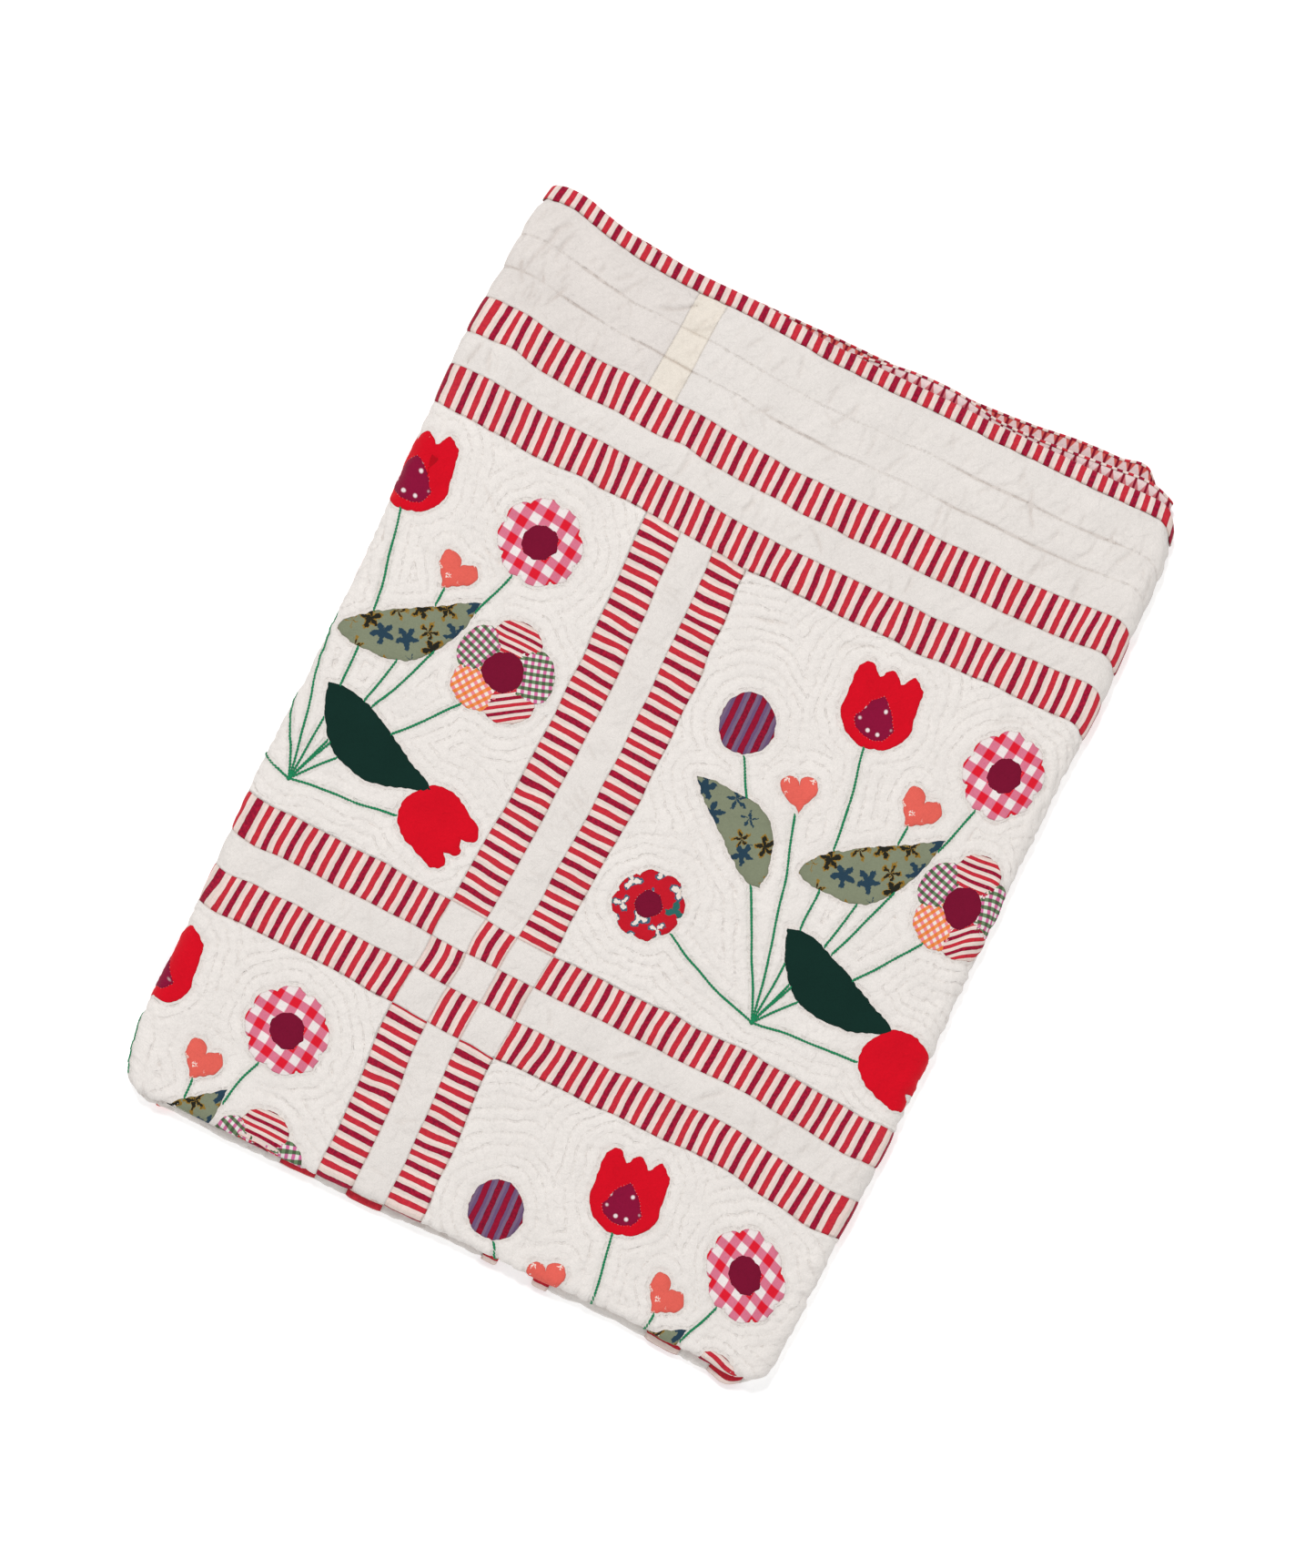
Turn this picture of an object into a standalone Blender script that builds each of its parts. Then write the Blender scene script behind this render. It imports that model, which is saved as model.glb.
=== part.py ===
"""A hand-quilted cotton quilt, folded in half across and then gated under at both sides.

It lies flat with its patched face up. Its length is turned back once at the foot of the
bundle, which gives a book of two layers. Both sides of that book are then folded under
until they nearly meet below, which gives four layers. All edges are bound.
Units are metres, +Z is up, +X runs along the head edge and +Y points to that edge.
"""

import math

import bmesh
import bpy
from mathutils import Matrix, Vector

MM = 0.001

# Layers
LAYER = 8.6 * MM  # cotton top, wadding and backing, sewn together
EDGE_LAYER = 5.4 * MM  # the same, pressed flat under the binding
PITCH = 10.0 * MM  # from the middle of one layer to the middle of the next
HALF_STACK = 1.5 * PITCH + LAYER / 2  # half the height of the four layers
BOOK_HALF = PITCH / 2  # a layer's distance from the middle of its book
BOOK_BEND = PITCH  # radius of the side folds, at the middle of the book

# Bundle
HALF_WIDTH = 364 * MM  # middle of the bundle to the outside of a side fold
FACE_HALF = HALF_WIDTH - HALF_STACK  # middle of the bundle to where a fold starts
GATE_X = 80 * MM  # where the two flaps nearly meet, under the bundle
GATE_GAP = 8 * MM  # between the ends of the inner layers there
SLIP_FROM = 0.45  # share of the length where the two layers of a flap start to even out

# Binding, a striped strip turned over the edge
BINDING_WIDTH = 17 * MM  # on the patched face
BINDING_BACK = 2.8 * MM  # on the backing
BINDING_CLOTH = 1.0 * MM
CLEARANCE = 0.3 * MM
END_CLEARANCE = 0.6 * MM  # between the layer's end and the fold of the binding
BINDING_OUT = BINDING_CLOTH + END_CLEARANCE  # how far it stands out past the layer
CORNER = 1.2 * MM  # its rounded corner

# Where the layer thins towards its edge, measured from the binding's outside
THIN_TO = BINDING_WIDTH + 1 * MM
FULL_FROM = BINDING_WIDTH + 9 * MM
EDGE_STEPS = (
    (BINDING_OUT, EDGE_LAYER),
    (THIN_TO, EDGE_LAYER),
    (FULL_FROM, LAYER),
)

# Head edges, as seen from above: a row for each bend of the edge.
# x, then the y of the top layer, the second, the third and the lowest.
HEAD_ROWS = (
    (-364, 499, 494, 491, 496),
    (-345, 501, 497, 494, 498),
    (-315, 499, 494, 490, 494),
    (-296, 494, 489, 486, 491),
    (-250, 485, 480, 478, 489),
    (-190, 480, 475, 473, 483),
    (-105, 479, 473, 470, 483),
    (-25, 473, 472, 466, 484),
    (20, 472, 479, 466, 484),
    (55, 472, 484, 466, 484),
    (110, 472, 484, 467, 485),
    (150, 471, 477, 470, 487),
    (190, 471, 477, 472, 490),
    (232, 471, 480, 476, 495),
    (282, 471, 484, 480, 497),
    (322, 472, 486, 481, 496),
    (333, 472, 484, 480, 483),
    (345, 470, 480, 478, 473),
    (352, 465, 477, 477, 466),
    (360, 452, 477, 477, 452),
)
# Foot folds, the outside of each: the upper book's and the lower one's.
FOOT_ROWS = (
    (-364, -482, -484),
    (-345, -491, -497),
    (-306, -490, -498),
    (-234, -490, -501),
    (-144, -490, -499),
    (-81, -489, -501),
    (0, -489, -497),
    (100, -490, -500),
    (207, -488, -499),
    (243, -490, -502),
    (306, -492, -504),
    (330, -493, -507),
    (347, -488, -497),
    (364, -478, -484),
)
# Side folds: how far the left and the right one stand out past the half width.
SIDE_ROWS = (
    (-507, -16, -17),
    (-474, -8, -11),
    (-440, -1, -9),
    (-348, -1, -7),
    (-240, 0, -2),
    (-150, 1, -1),
    (0, -3, -2),
    (100, -3, -2),
    (200, 0, -1),
    (250, 1, 2),
    (330, 2, 1),
    (410, -4, 0),
    (455, -7, -7),
    (501, -15, -13),
)

# The upper layers' unevenness, which dies away towards the surface that they lie on.
SWELLS = (
    # height, waves along X and Y in a metre, start of each wave in turns
    (0.9, 2.1, 0.8, 0.10, 0.30),
    (0.7, 0.6, 2.6, 0.55, 0.85),
    (0.5, 3.4, 1.9, 0.20, 0.65),
)

# Where the faceted sheet has its rows and columns
FLAP_SHARES = (0.72, 0.5, 0.28, 0.12, 0.0)
LENGTH_SHARES = (0.1, 0.2, 0.32, 0.44, 0.56, 0.68, 0.8, 0.9, 0.96, 1.0)
FOLD_STEPS = 8
TURN_STEPS = 6
LEFT, RIGHT = -1, 1


def between(rows, key, column):
    """A table's value at key, in metres, straight between its rows."""
    at = key / MM
    if at <= rows[0][0]:
        return rows[0][column] * MM
    for low, high in zip(rows, rows[1:]):
        if at <= high[0]:
            share = (at - low[0]) / (high[0] - low[0])
            return (low[column] + share * (high[column] - low[column])) * MM
    return rows[-1][column] * MM


def eased(value, low, high):
    """0 up to low, 1 from high, and a smooth step between."""
    share = min(1.0, max(0.0, (value - low) / (high - low)))
    return share * share * (3 - 2 * share)


def sheet_end(side):
    """How far the sheet reaches from the middle of the face, measured along it."""
    inner_bend = math.pi * (BOOK_BEND - BOOK_HALF)
    inner_flap = FACE_HALF + (-side) * GATE_X - GATE_GAP / 2
    return FACE_HALF + inner_bend + inner_flap


def across(column, slip, offset):
    """(x, z, under) of a point on a column of the sheet.

    slip is the radius that the layer gains over its book's in the side folds, which
    shortens its flap. offset is the point's place, outwards from the book's middle.
    under is 0 on the face and 1 on a flap.
    """
    kind, side, value = column
    out = BOOK_BEND + offset
    if kind == "face":
        return value, out, 0.0
    if kind == "fold":
        x = side * (FACE_HALF + out * math.sin(value))
        return x, out * math.cos(value), value / math.pi
    flap = sheet_end(side) - FACE_HALF - math.pi * (BOOK_BEND + slip)
    run = flap * value if kind == "flap" else flap - value
    return side * (FACE_HALF - run), -out, 1.0


def head_y(layer, x, share):
    """y of a head edge: layer 0 is the outer one of its book, and 1 the inner one."""
    upper = between(HEAD_ROWS, x, 1 + layer)
    lower = between(HEAD_ROWS, x, 4 - layer)
    return upper + share * (lower - upper)


def turn_y(x, share):
    """y of the middle of the foot fold."""
    upper = between(FOOT_ROWS, x, 1)
    lower = between(FOOT_ROWS, x, 2)
    return upper + share * (lower - upper) + BOOK_HALF + LAYER / 2


def settled(x, y, z):
    """The point as the bundle really lies: a little uneven above, flat below."""
    up = z + HALF_STACK
    loose = (up / (2 * HALF_STACK)) ** 3
    rise = sum(
        height * MM
        * math.sin(math.tau * (across_x * x + start_x))
        * math.sin(math.tau * (along_y * y + start_y))
        for height, across_x, along_y, start_x, start_y in SWELLS
    )
    column = 1 if x < 0 else 2
    bulge = between(SIDE_ROWS, y, column) * (x / HALF_WIDTH) ** 3
    return x + bulge, y, up + rise * loose


def place(column, row, offset):
    """World point of the sheet, offset outwards from its middle surface.

    A row is (layer, d, share): d from the head edge, then that share of what is left
    down to the foot fold. In the foot fold the layer is "turn" and d is an angle.
    """
    layer, d, share = row
    if layer == "turn":
        middle = BOOK_HALF * math.cos(d)
        out = (BOOK_HALF + offset) * math.cos(d)
        x, z, under = across(column, 0.0, out)
        layer_x = across(column, 0.0, middle)[0]
        y = turn_y(layer_x, under) - (BOOK_HALF + offset) * math.sin(d)
        return settled(x, y, z)
    sign = 1 if layer == 0 else -1
    middle = sign * BOOK_HALF
    slip = middle * (1 - eased(share, SLIP_FROM, 1.0))
    x, z, under = across(column, slip, middle + sign * offset)
    layer_x = across(column, slip, middle)[0]
    start = head_y(layer, layer_x, under) - d
    y = start + share * (turn_y(layer_x, under) - start)
    return settled(x, y, z)


def fold_columns(side):
    steps = range(1, FOLD_STEPS)
    angles = [math.pi * step / FOLD_STEPS for step in steps]
    return [("fold", side, angle) for angle in angles]


def body_columns():
    """(column, thickness) from the left flap's end, over the face, to the right one's."""
    halves = {}
    for side in (LEFT, RIGHT):
        edge = [(("end", side, d), thick) for d, thick in EDGE_STEPS]
        flap = [(("flap", side, share), LAYER) for share in FLAP_SHARES]
        fold = [(column, LAYER) for column in reversed(fold_columns(side))]
        halves[side] = edge + flap + fold
    face_x = [row[0] * MM for row in HEAD_ROWS if abs(row[0] * MM) < FACE_HALF]
    face = [-FACE_HALF, *face_x, FACE_HALF]
    middle = [(("face", 0, x), LAYER) for x in face]
    return halves[LEFT] + middle + halves[RIGHT][::-1]


def body_rows():
    """(row, thickness) from the upper layer's head edge, round the foot, to the inner one's."""
    layers = {}
    for layer in (0, 1):
        edge = [((layer, d, 0.0), thick) for d, thick in EDGE_STEPS]
        run = [((layer, FULL_FROM, share), LAYER) for share in LENGTH_SHARES]
        layers[layer] = edge + run
    steps = range(1, TURN_STEPS)
    turn = [(("turn", math.pi * step / TURN_STEPS, 0.0), LAYER) for step in steps]
    return layers[0] + turn + layers[1][::-1]


def new_object(name, points, faces, material):
    mesh = bpy.data.meshes.new(name)
    mesh.from_pydata(points, [], faces)
    work = bmesh.new()
    work.from_mesh(mesh)
    bmesh.ops.recalc_face_normals(work, faces=work.faces)
    work.to_mesh(mesh)
    work.free()
    mesh.shade_smooth()
    mesh.set_sharp_from_angle(angle=math.radians(35))
    mesh.materials.append(material)
    obj = bpy.data.objects.new(name, mesh)
    bpy.context.scene.collection.objects.link(obj)
    return obj


def cloth_material(name, colour):
    material = bpy.data.materials.new(name)
    material.use_nodes = True
    shader = material.node_tree.nodes["Principled BSDF"]
    shader.inputs["Base Color"].default_value = (*colour, 1.0)
    shader.inputs["Roughness"].default_value = 0.9
    shader.inputs["Metallic"].default_value = 0.0
    return material


def quilt_body(material):
    """The sheet as one closed solid: a patched side, a backing side and four edges."""
    columns = body_columns()
    rows = body_rows()
    across_count, down_count = len(columns), len(rows)
    points = []
    for side in (1, -1):
        for row, row_thick in rows:
            for column, column_thick in columns:
                half = min(row_thick, column_thick) / 2
                points.append(place(column, row, side * half))

    def index(side, i, j):
        return side * across_count * down_count + j * across_count + i

    faces = []
    for j in range(down_count - 1):
        for i in range(across_count - 1):
            ring = ((i, j), (i + 1, j), (i + 1, j + 1), (i, j + 1))
            faces.append([index(0, *corner) for corner in ring])
            faces.append([index(1, *corner) for corner in reversed(ring)])
    border = [(i, 0) for i in range(across_count - 1)]
    border += [(across_count - 1, j) for j in range(down_count - 1)]
    border += [(i, down_count - 1) for i in range(across_count - 1, 0, -1)]
    border += [(0, j) for j in range(down_count - 1, 0, -1)]
    for here, there in zip(border, border[1:] + border[:1]):
        low, high = sorted((here, there))
        faces.append([index(0, *low), index(1, *low), index(0, *high)])
        faces.append([index(1, *low), index(1, *high), index(0, *high)])
    return new_object("quilt", points, faces, material)


def binding_profile():
    """(distance from the outside, offset from the layer's middle) round the strip's section."""
    inner = EDGE_LAYER / 2 + CLEARANCE
    outer = inner + BINDING_CLOTH
    return (
        (BINDING_WIDTH, outer),
        (CORNER, outer),
        (0.0, outer - CORNER),
        (0.0, CORNER - outer),
        (CORNER, -outer),
        (BINDING_BACK, -outer),
        (BINDING_BACK, -inner),
        (BINDING_CLOTH, -inner),
        (BINDING_CLOTH, inner),
        (BINDING_WIDTH, inner),
    )


def swept_strip(name, sections, material):
    """A closed solid through a row of matching sections."""
    size = len(sections[0])
    points = [point for section in sections for point in section]
    faces = []
    for k in range(len(sections) - 1):
        for i in range(size):
            here, there = k * size + i, k * size + (i + 1) % size
            faces.append([here, there, there + size])
            faces.append([here, there + size, here + size])
    first_leg = [0, 1, 8, 9]
    cap = [1, 2, 3, 4, 7, 8]
    back_leg = [4, 5, 6, 7]
    last = (len(sections) - 1) * size
    for part in (first_leg, cap, back_leg):
        faces.append(part)
        faces.append([last + i for i in reversed(part)])
    return new_object(name, points, faces, material)


def end_binding(name, layer, material):
    """The strip along a head edge, from the end of one flap to the end of the other."""
    inner_columns = [column for column, _ in body_columns()[1:-1]]
    columns = [("end", LEFT, 0.0), *inner_columns, ("end", RIGHT, 0.0)]
    profile = binding_profile()
    sections = [
        [place(column, (layer, d, 0.0), offset) for d, offset in profile]
        for column in columns
    ]
    return swept_strip(name, sections, material)


def side_binding(name, side, material):
    """The strip along a flap's end, between the two end bindings."""
    start = BINDING_WIDTH + CLEARANCE
    rows = [row for row, _ in body_rows()[2:-2]]
    rows = [(0, start, 0.0), *rows, (1, start, 0.0)]
    profile = binding_profile()
    sections = [
        [place(("end", side, d), row, offset) for d, offset in profile]
        for row in rows
    ]
    return swept_strip(name, sections, material)


def centre_over_origin(objects):
    """Moves the meshes so that the origin lies under the middle of the bundle."""
    corners = [vertex.co for obj in objects for vertex in obj.data.vertices]
    low = [min(corner[k] for corner in corners) for k in range(3)]
    high = [max(corner[k] for corner in corners) for k in range(3)]
    shift = Vector((-(low[0] + high[0]) / 2, -(low[1] + high[1]) / 2, -low[2]))
    for obj in objects:
        obj.data.transform(Matrix.Translation(shift))


def main():
    for obj in list(bpy.data.objects):
        bpy.data.objects.remove(obj)
    cotton = cloth_material("quilted cotton", (0.84, 0.80, 0.76))
    stripe = cloth_material("striped cotton", (0.62, 0.16, 0.17))
    objects = [
        quilt_body(cotton),
        end_binding("binding_head", 0, stripe),
        end_binding("binding_foot", 1, stripe),
        side_binding("binding_left", LEFT, stripe),
        side_binding("binding_right", RIGHT, stripe),
    ]
    centre_over_origin(objects)


main()
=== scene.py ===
import math

import bpy
import numpy as np
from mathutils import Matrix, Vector, geometry


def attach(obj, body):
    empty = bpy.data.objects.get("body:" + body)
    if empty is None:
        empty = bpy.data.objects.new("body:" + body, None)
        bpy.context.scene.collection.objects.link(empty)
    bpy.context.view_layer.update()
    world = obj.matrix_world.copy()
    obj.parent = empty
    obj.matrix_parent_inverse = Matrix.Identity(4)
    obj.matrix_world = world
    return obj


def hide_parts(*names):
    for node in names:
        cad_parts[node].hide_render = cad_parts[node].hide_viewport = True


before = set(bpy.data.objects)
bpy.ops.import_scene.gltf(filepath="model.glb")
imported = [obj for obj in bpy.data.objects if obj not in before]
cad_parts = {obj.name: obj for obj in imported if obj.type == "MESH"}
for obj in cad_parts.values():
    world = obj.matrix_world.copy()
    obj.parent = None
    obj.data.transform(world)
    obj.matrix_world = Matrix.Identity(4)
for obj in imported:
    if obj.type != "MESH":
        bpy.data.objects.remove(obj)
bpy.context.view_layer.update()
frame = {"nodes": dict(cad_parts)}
mm = 0.001
print("frame loaded:", ", ".join(frame["nodes"]))


# The folded sheet, as the frame has it: the same sizes and tables as its solids
bundle = {
    "layer": 8.6,
    "edgeLayer": 5.4,
    "pitch": 10.0,
    "halfWidth": 364.0,
    "gateX": 80.0,
    "gateGap": 8.0,
    "slipFrom": 0.45,
    "halfLength": 965.0,  # flat length from a head edge to the foot fold
    "edgeThin": (18.0, 26.0),  # where the layer thickens, in from its edge
    "shift": (-0.19, 2.09),  # from the tables' origin to the frame's
}
# x, then the y of the head edge of the top layer, the second, the third and the lowest
headRows = (
    (-364, 499, 494, 491, 496),
    (-345, 501, 497, 494, 498),
    (-315, 499, 494, 490, 494),
    (-296, 494, 489, 486, 491),
    (-250, 485, 480, 478, 489),
    (-190, 480, 475, 473, 483),
    (-105, 479, 473, 470, 483),
    (-25, 473, 472, 466, 484),
    (20, 472, 479, 466, 484),
    (55, 472, 484, 466, 484),
    (110, 472, 484, 467, 485),
    (150, 471, 477, 470, 487),
    (190, 471, 477, 472, 490),
    (232, 471, 480, 476, 495),
    (282, 471, 484, 480, 497),
    (322, 472, 486, 481, 496),
    (333, 472, 484, 480, 483),
    (345, 470, 480, 478, 473),
    (352, 465, 477, 477, 466),
    (360, 452, 477, 477, 452),
)
# x, then the outside of the foot fold of the upper book and of the lower one
footRows = (
    (-364, -482, -484),
    (-345, -491, -497),
    (-306, -490, -498),
    (-234, -490, -501),
    (-144, -490, -499),
    (-81, -489, -501),
    (0, -489, -497),
    (100, -490, -500),
    (207, -488, -499),
    (243, -490, -502),
    (306, -492, -504),
    (330, -493, -507),
    (347, -488, -497),
    (364, -478, -484),
)
# y, then how far the left and the right side stand out past the half width
sideRows = (
    (-507, -16, -17),
    (-474, -8, -11),
    (-440, -1, -9),
    (-348, -1, -7),
    (-240, 0, -2),
    (-150, 1, -1),
    (0, -3, -2),
    (100, -3, -2),
    (200, 0, -1),
    (250, 1, 2),
    (330, 2, 1),
    (410, -4, 0),
    (455, -7, -7),
    (501, -15, -13),
)
# height, waves along x and y in a metre, start of each wave in turns
swells = (
    (0.9, 2.1, 0.8, 0.10, 0.30),
    (0.7, 0.6, 2.6, 0.55, 0.85),
    (0.5, 3.4, 1.9, 0.20, 0.65),
)

halfStack = 1.5 * bundle["pitch"] + bundle["layer"] / 2
bookHalf = bundle["pitch"] / 2
bookBend = bundle["pitch"]
faceHalf = bundle["halfWidth"] - halfStack
turnLength = math.pi * bookHalf
fullLength = 2 * bundle["halfLength"] + turnLength
endLeft = 2 * faceHalf + math.pi * (bookBend - bookHalf) + bundle["gateX"] - bundle["gateGap"] / 2
endRight = endLeft - 2 * bundle["gateX"]
fullWidth = endLeft + endRight


def eased(value, low, high):
    share = np.clip((value - low) / (high - low), 0.0, 1.0)
    return share * share * (3 - 2 * share)


def banded(value, start, full, fading, end):
    # nought outside a band, one within it, eased between
    return eased(value, start, full) * (1 - eased(value, fading, end))


def readTable(rows, at, column):
    # a smooth curve through one column of a table
    keys = np.array([row[0] for row in rows], float)
    values = np.array([row[column] for row in rows], float)
    slopes = np.gradient(values, keys)
    at = np.clip(at, keys[0], keys[-1])
    i = np.clip(np.searchsorted(keys, at) - 1, 0, len(keys) - 2)
    span = keys[i + 1] - keys[i]
    f = (at - keys[i]) / span
    rise = f * f * (3 - 2 * f)
    lead = f * (1 - f) ** 2 * span * slopes[i]
    tail = f * f * (f - 1) * span * slopes[i + 1]
    return values[i] * (1 - rise) + values[i + 1] * rise + lead + tail


def foldPoint(u, v, out):
    # u runs across the flat sheet from the left flap's end, v from the head edge of the
    # outer layer, and out is the height over the sheet's middle, on its patched side
    u, v, out = np.broadcast_arrays(*(np.asarray(a, float) for a in (u, v, out)))
    half = bundle["halfLength"]
    share = np.clip(np.minimum(v, fullLength - v) / half, 0.0, 1.0)
    turn = np.clip((v - half) / turnLength, 0.0, 1.0) * math.pi
    middle = bookHalf * np.cos(turn)
    outward = (bookHalf + out) * np.cos(turn)
    slip = middle * (1 - eased(share, bundle["slipFrom"], 1.0))
    side = np.where(u < endLeft, -1.0, 1.0)
    along = np.abs(u - endLeft)
    bend = np.clip((along - faceHalf) / (bookBend + slip), 0.0, math.pi)
    run = np.maximum(along - faceHalf - math.pi * (bookBend + slip), 0.0)
    flat = np.minimum(along, faceHalf) - run
    x = side * (flat + (bookBend + outward) * np.sin(bend))
    z = (bookBend + outward) * np.cos(bend)
    layerX = side * (flat + (bookBend + middle) * np.sin(bend))
    under = bend / math.pi
    outer = v < half + turnLength / 2
    upper = np.where(outer, readTable(headRows, layerX, 1), readTable(headRows, layerX, 2))
    lower = np.where(outer, readTable(headRows, layerX, 4), readTable(headRows, layerX, 3))
    head = upper + under * (lower - upper)
    upper = readTable(footRows, layerX, 1)
    lower = readTable(footRows, layerX, 2)
    foot = upper + under * (lower - upper) + bookHalf + bundle["layer"] / 2
    y = head + share * (foot - head) - (bookHalf + out) * np.sin(turn)
    up = z + halfStack
    loose = (np.maximum(up, 0) / (2 * halfStack)) ** 3
    rise = 0.0
    for height, acrossX, alongY, startX, startY in swells:
        waveX = np.sin(math.tau * (acrossX * mm * x + startX))
        waveY = np.sin(math.tau * (alongY * mm * y + startY))
        rise = rise + height * waveX * waveY
    bulge = np.where(x < 0, readTable(sideRows, y, 1), readTable(sideRows, y, 2))
    x = x + bulge * (x / bundle["halfWidth"]) ** 3
    shiftX, shiftY = bundle["shift"]
    return np.stack([x + shiftX, y + shiftY, up + rise * loose], -1) * mm


def halfThickness(u, v):
    edge = np.minimum(np.minimum(u, fullWidth - u), np.minimum(v, fullLength - v))
    full, thin = bundle["layer"] / 2, bundle["edgeLayer"] / 2
    return thin + (full - thin) * eased(edge, *bundle["edgeThin"])


# The patchwork of the top: where its seams run on the flat sheet, across and down
patchwork = {
    "acrossLines": (128, 167, 202, 241, 644, 683, 719, 758, 1161, 1200, 1235, 1274),
    "downLines": (128, 166, 202, 241, 671, 710, 748, 788, 1188, 1227, 1266, 1305, 1705, 1743, 1779, 1818),
    "underBinding": 15.0,  # the border starts this far in, under the binding
    "borderJoin": (590.0, 621.0),  # a narrow piece let into the head border
    "seamWobble": 0.8,
    "fineStep": 2.0,
    "flapStep": 4.0,
    "hiddenStep": 14.0,
    "fineAcross": (386.0, 1176.0),  # the part that can be seen from above and from the sides
    "fineDown": 990.0,
    "thick": 1.2,
    "flapSink": 1.5,  # the face lies a little deeper where it is folded under
}
# how far each seam across strays from straight, at places along it
seamPlaces = (430, 574, 718, 862, 1006, 1136)
seamStray = (
    (17, 0, 0, 0, 0, 0, 0),
    (128, 0, -6, 2, 1, 2, -4),
    (166, 0, -6, 0, 1, 2, -3),
    (202, 0, -9, 0, 2, -1, -7),
    (241, 3, -7, -1, 2, 0, -5),
    (671, -5, -6, 3, 4, 8, 16),
    (710, -2, -4, 1, 3, 7, 18),
    (748, -4, -6, 1, 3, 5, 18),
    (788, -4, -6, 3, 4, 5, 22),
    (980, -4, -5, 3, 4, 8, 24),
    (1188, 0, 0, 0, 0, 0, 0),
)
# the same for the middle sashes, which run down: place along them, stray
middleStray = (
    (0, 21),
    (128, 13),
    (241, 13),
    (358, 16),
    (440, 16),
    (540, 12),
    (610, 7),
    (661, 3),
    (730, -2),
    (797, -7),
    (880, -3),
    (980, -3),
    (1188, 0),
)


def sewnCells():
    # every cut piece of the top: its group, fabric and quilting, then left, right, top, foot
    a = (0.0, *patchwork["acrossLines"], fullWidth)
    d = (0.0, *patchwork["downLines"], fullLength)
    rim = patchwork["underBinding"]
    join = patchwork["borderJoin"]
    cells = [
        ("headBorder", "greyMuslin", "border", rim, join[0], rim, d[1]),
        ("headBorder", "creamMuslin", "border", join[0], join[1], rim, d[1]),
        ("headBorder", "warmMuslin", "border", join[1], fullWidth - rim, rim, d[1]),
        ("outerBorders", "warmMuslin", "border", rim, fullWidth - rim, d[16], fullLength - rim),
        ("outerBorders", "greyMuslin", "border", rim, a[1], d[1], d[16]),
        ("outerBorders", "warmMuslin", "border", a[12], fullWidth - rim, d[1], d[16]),
    ]
    for k in (0, 1, 2):
        group = ("outerSashes", "plainStrips", "innerSashes")[k]
        fabric = ("stripe", "warmMuslin", "stripe")[k]
        turnedFabric = ("stripeTurned", "warmMuslin", "stripeTurned")[k]
        quilted = ("sash", "strip", "sash")[k]
        left, right = a[1 + k], a[12 - k]
        cells.append((group, fabric, quilted, left, right, d[1 + k], d[2 + k]))
        cells.append((group, fabric, quilted, left, right, d[15 - k], d[16 - k]))
        cells.append((group, turnedFabric, quilted, left, a[2 + k], d[2 + k], d[15 - k]))
        cells.append((group, turnedFabric, quilted, a[11 - k], right, d[2 + k], d[15 - k]))
        group = "plainStrips" if k == 1 else "middleSashes"
        for top, foot in ((4, 5), (8, 9), (12, 13)):
            cells.append((group, turnedFabric, quilted, a[5 + k], a[6 + k], d[top], d[foot]))
        group = "plainStrips" if k == 1 else "crossSashes"
        for row in (5, 9):
            cells.append((group, fabric, quilted, a[4], a[5], d[row + k], d[row + k + 1]))
            cells.append((group, fabric, quilted, a[8], a[9], d[row + k], d[row + k + 1]))
            for column in (0, 1, 2):
                isStriped = (k + column) % 2 == 1
                square = ("stripe", "sash") if isStriped else ("warmMuslin", "strip")
                edges = (a[5 + column], a[6 + column], d[row + k], d[row + k + 1])
                cells.append(("crossingSquares", *square, *edges))
    for number, (column, row) in enumerate(((4, 4), (8, 4), (4, 8), (8, 8), (4, 12), (8, 12))):
        edges = (a[column], a[column + 1], d[row], d[row + 1])
        cells.append((f"block{number + 1}", "blockMuslin", "block", *edges))
    return cells


def softNoise(height, width, cell, seed):
    # smooth noise on a 1 mm grid, with hills about a cell apart
    rows, columns = int(height / cell) + 4, int(width / cell) + 4
    coarse = np.random.default_rng(seed).normal(size=(rows, columns)).astype(np.float32)
    y = (np.arange(height, dtype=np.float32) / cell)[:, None]
    x = (np.arange(width, dtype=np.float32) / cell)[None, :]
    yi, xi = y.astype(int), x.astype(int)
    yf, xf = y - yi, x - xi
    yf, xf = yf * yf * (3 - 2 * yf), xf * xf * (3 - 2 * xf)
    top = coarse[yi, xi] * (1 - xf) + coarse[yi, xi + 1] * xf
    low = coarse[yi + 1, xi] * (1 - xf) + coarse[yi + 1, xi + 1] * xf
    return top * (1 - yf) + low * yf


def sampled(field, x, y):
    # a field on a 1 mm grid, read between its points
    rows, columns = field.shape
    x = np.clip(x, 0, columns - 1.001)
    y = np.clip(y, 0, rows - 1.001)
    xi, yi = x.astype(int), y.astype(int)
    xf, yf = x - xi, y - yi
    top = field[yi, xi] * (1 - xf) + field[yi, xi + 1] * xf
    low = field[yi + 1, xi] * (1 - xf) + field[yi + 1, xi + 1] * xf
    return top * (1 - yf) + low * yf


gridHigh, gridWide = int(fullLength) + 2, int(fullWidth) + 2
wobbleU = softNoise(gridHigh, gridWide, 33, 11)
wobbleV = softNoise(gridHigh, gridWide, 27, 12)


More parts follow.
